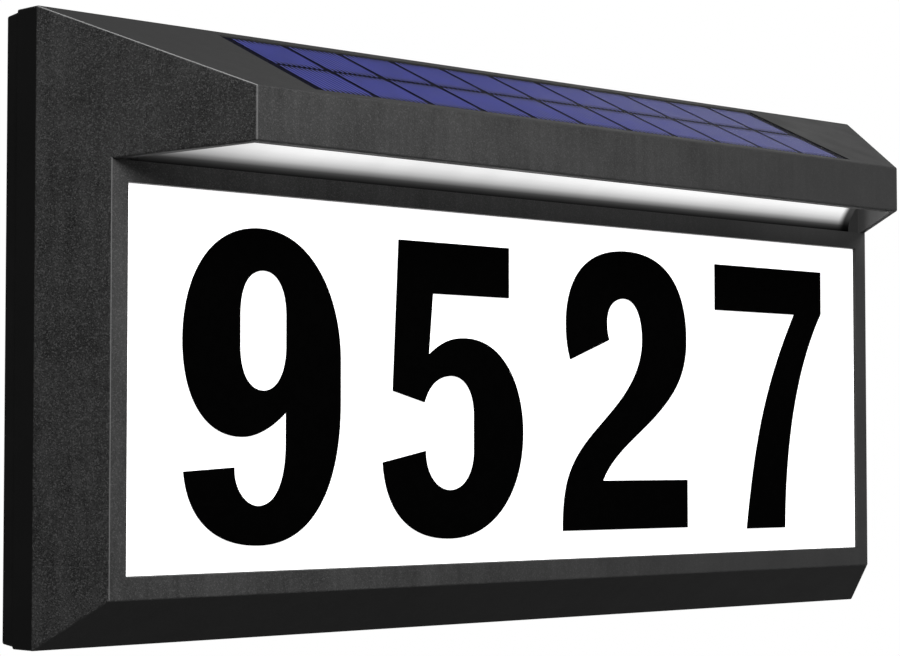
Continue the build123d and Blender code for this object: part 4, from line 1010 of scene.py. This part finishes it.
def add_coil():
    """Wound choke: a ferrite drum with its copper winding between two flanges."""
    ((low, high),) = solids("charging_coil", WALL)
    middle = (low + high) / 2
    radius = (high.x - low.x) / 2
    place = WALL @ Matrix.Translation((middle.x, middle.y, 0))
    flange = 0.8 * MM
    core = 0.55 * radius
    profile = [
        (0, low.z),
        (0.95 * radius, low.z),
        (radius, low.z + 0.1 * MM),
        (radius, low.z + flange),
        (core, low.z + flange),
        (core, high.z - flange),
        (radius, high.z - flange),
        (radius, high.z - 0.1 * MM),
        (0.95 * radius, high.z),
        (0.35 * radius, high.z),
        (0.30 * radius, high.z - 0.15 * MM),
        (0, high.z - 0.15 * MM),
    ]
    drum = bmesh.new()
    turned(drum, profile, place, steps=48)
    piece("coil_drum", drum, "coil", stands_for=("charging_coil",))

    wire = 0.32 * MM
    height = high.z - low.z - 2 * flange
    turns = int(height / (2 * wire) * 1.6)
    points = 4 * turns
    bulge = [(0, low.z + flange)]
    for i in range(points + 1):
        share = i / points
        outside = 0.88 * radius + 0.5 * wire * abs(sin(pi * turns * share))
        bulge.append((outside, low.z + flange + height * share))
    winding = bmesh.new()
    turned(winding, [*bulge, (0, high.z - flange)], place, steps=40)
    piece("coil_winding", winding, "contact", finish=copper)


def add_capacitor():
    """Electrolytic capacitor: a sleeved can with a rolled neck and a scored top."""
    ((low, high),) = solids("storage_capacitor", WALL)
    middle = (low + high) / 2
    radius = (high.x - low.x) / 2 / 1.02  # a little narrower than the plain one
    place = WALL @ Matrix.Translation((middle.x, middle.y, 0))
    profile = [
        (0, low.z),
        (0.90 * radius, low.z),
        (0.98 * radius, low.z + 0.2 * MM),
        (0.98 * radius, low.z + 1.0 * MM),
        (0.90 * radius, low.z + 1.4 * MM),
        (0.90 * radius, low.z + 1.7 * MM),
        (radius, low.z + 2.2 * MM),
        (radius, high.z - 0.4 * MM),
        (0.96 * radius, high.z - 0.1 * MM),
        (0.86 * radius, high.z - 0.1 * MM),
        (0.84 * radius, high.z - 0.2 * MM),
        (0, high.z - 0.2 * MM),
    ]
    can = bmesh.new()
    turned(can, profile, place, steps=40)
    piece("capacitor_can", can, "capacitor", stands_for=("storage_capacitor",))

    lid = bmesh.new()
    cylinder(lid, 0.83 * radius, high.z - 0.35 * MM, high.z - 0.12 * MM, place, steps=40)
    arm, half_width = 0.62 * radius, 0.08 * MM
    for turn in (0.3, pi / 2 + 0.3):
        cutter = bmesh.new()  # one for each slot, as two that cross would leave no lid
        spin = place @ Matrix.Rotation(turn, 4, "Z")
        block(cutter, (-arm, -half_width, high.z - 0.2 * MM), (arm, half_width, high.z + 1 * MM), spin)
        lid = carved(lid, cutter)
    piece("capacitor_top", lid, "steel")


# Each resistor's place on the board, in millimetres from its lower left corner, and its turn
ACROSS, UPRIGHT = 0, pi / 2
RESISTORS = (
    (8.0, 18.0, ACROSS),
    (8.0, 21.0, ACROSS),
    (13.5, 27.5, UPRIGHT),
    (26.5, 10.0, ACROSS),
    (26.5, 13.0, ACROSS),
    (32.0, 24.0, UPRIGHT),
    (35.0, 24.0, UPRIGHT),
    (49.0, 20.5, ACROSS),
    (49.0, 23.5, ACROSS),
    (55.5, 13.0, UPRIGHT),
    (30.0, 4.5, ACROSS),
    (45.0, 5.0, ACROSS),
)
RESISTOR_LENGTH, RESISTOR_WIDTH, RESISTOR_HEIGHT = 2.0 * MM, 1.24 * MM, 0.6 * MM
PIN_PITCH, PIN_WIDTH, PIN_LENGTH, PIN_HEIGHT = 2.5 * MM, 0.5 * MM, 1.6 * MM, 0.3 * MM


def add_board_parts():
    """Small parts soldered on the control board: resistors with metal ends, and the sockets' pins."""
    ((low, high),) = solids("control_board", WALL)
    face = high.z
    bodies = bmesh.new()
    metal = bmesh.new()
    half_width, half_length = RESISTOR_WIDTH / 2, RESISTOR_LENGTH / 2
    body = 0.7 * half_length
    for x, y, turn in RESISTORS:
        spot = Matrix.Translation((low.x + x * MM, low.y + y * MM, face))
        place = WALL @ spot @ Matrix.Rotation(turn, 4, "Z")
        corner = (body, half_width, RESISTOR_HEIGHT)
        block(bodies, (-body, -half_width, 0.05 * MM), corner, place, bevel=0.05 * MM)
        for side in (-1, 1):
            left, right = sorted((side * half_length, side * 0.62 * half_length))
            corner = (right, half_width, 1.03 * RESISTOR_HEIGHT)
            block(metal, (left, -half_width, 0), corner, place, bevel=0.06 * MM)
    piece("board_resistors", bodies, "chip")

    for socket_low, socket_high in solids("lead_sockets", WALL):
        middle, foot = (socket_low + socket_high) / 2, socket_low.y
        for side in (-1, 1):
            left = middle.x + side * PIN_PITCH / 2 - PIN_WIDTH / 2
            corner = (left + PIN_WIDTH, foot, face + PIN_HEIGHT)
            block(metal, (left, foot - PIN_LENGTH, face), corner, WALL, bevel=0.06 * MM)
    piece("board_solder", metal, "steel")


# --- Putting it together --------------------------------------------------------------------------


def add_floor():
    mesh = bmesh.new()
    place = Matrix.Translation((0, 0, -FLOOR_DROP))
    bmesh.ops.create_grid(mesh, x_segments=8, y_segments=8, size=FLOOR_SIZE / 2, matrix=place)
    data = bpy.data.meshes.new("floor")
    mesh.to_mesh(data)
    mesh.free()
    data.materials.append(floor_finish())
    floor = bpy.data.objects.new("floor", data)
    scene.collection.objects.link(floor)
    floor.visible_diffuse = False  # the floor is seen, but throws no light up at the sign
    floor.visible_glossy = False


scene.view_settings.view_transform = "Standard"
add_camera()
add_world()
for light_name, settings in SOFTBOXES.items():
    add_softbox(light_name, *settings)
add_floor()
dress_nodes()
add_fasteners()
add_solar_panel()
add_lamps()
add_button_cap()
add_cell()
add_chip()
add_coil()
add_capacitor()
add_board_parts()
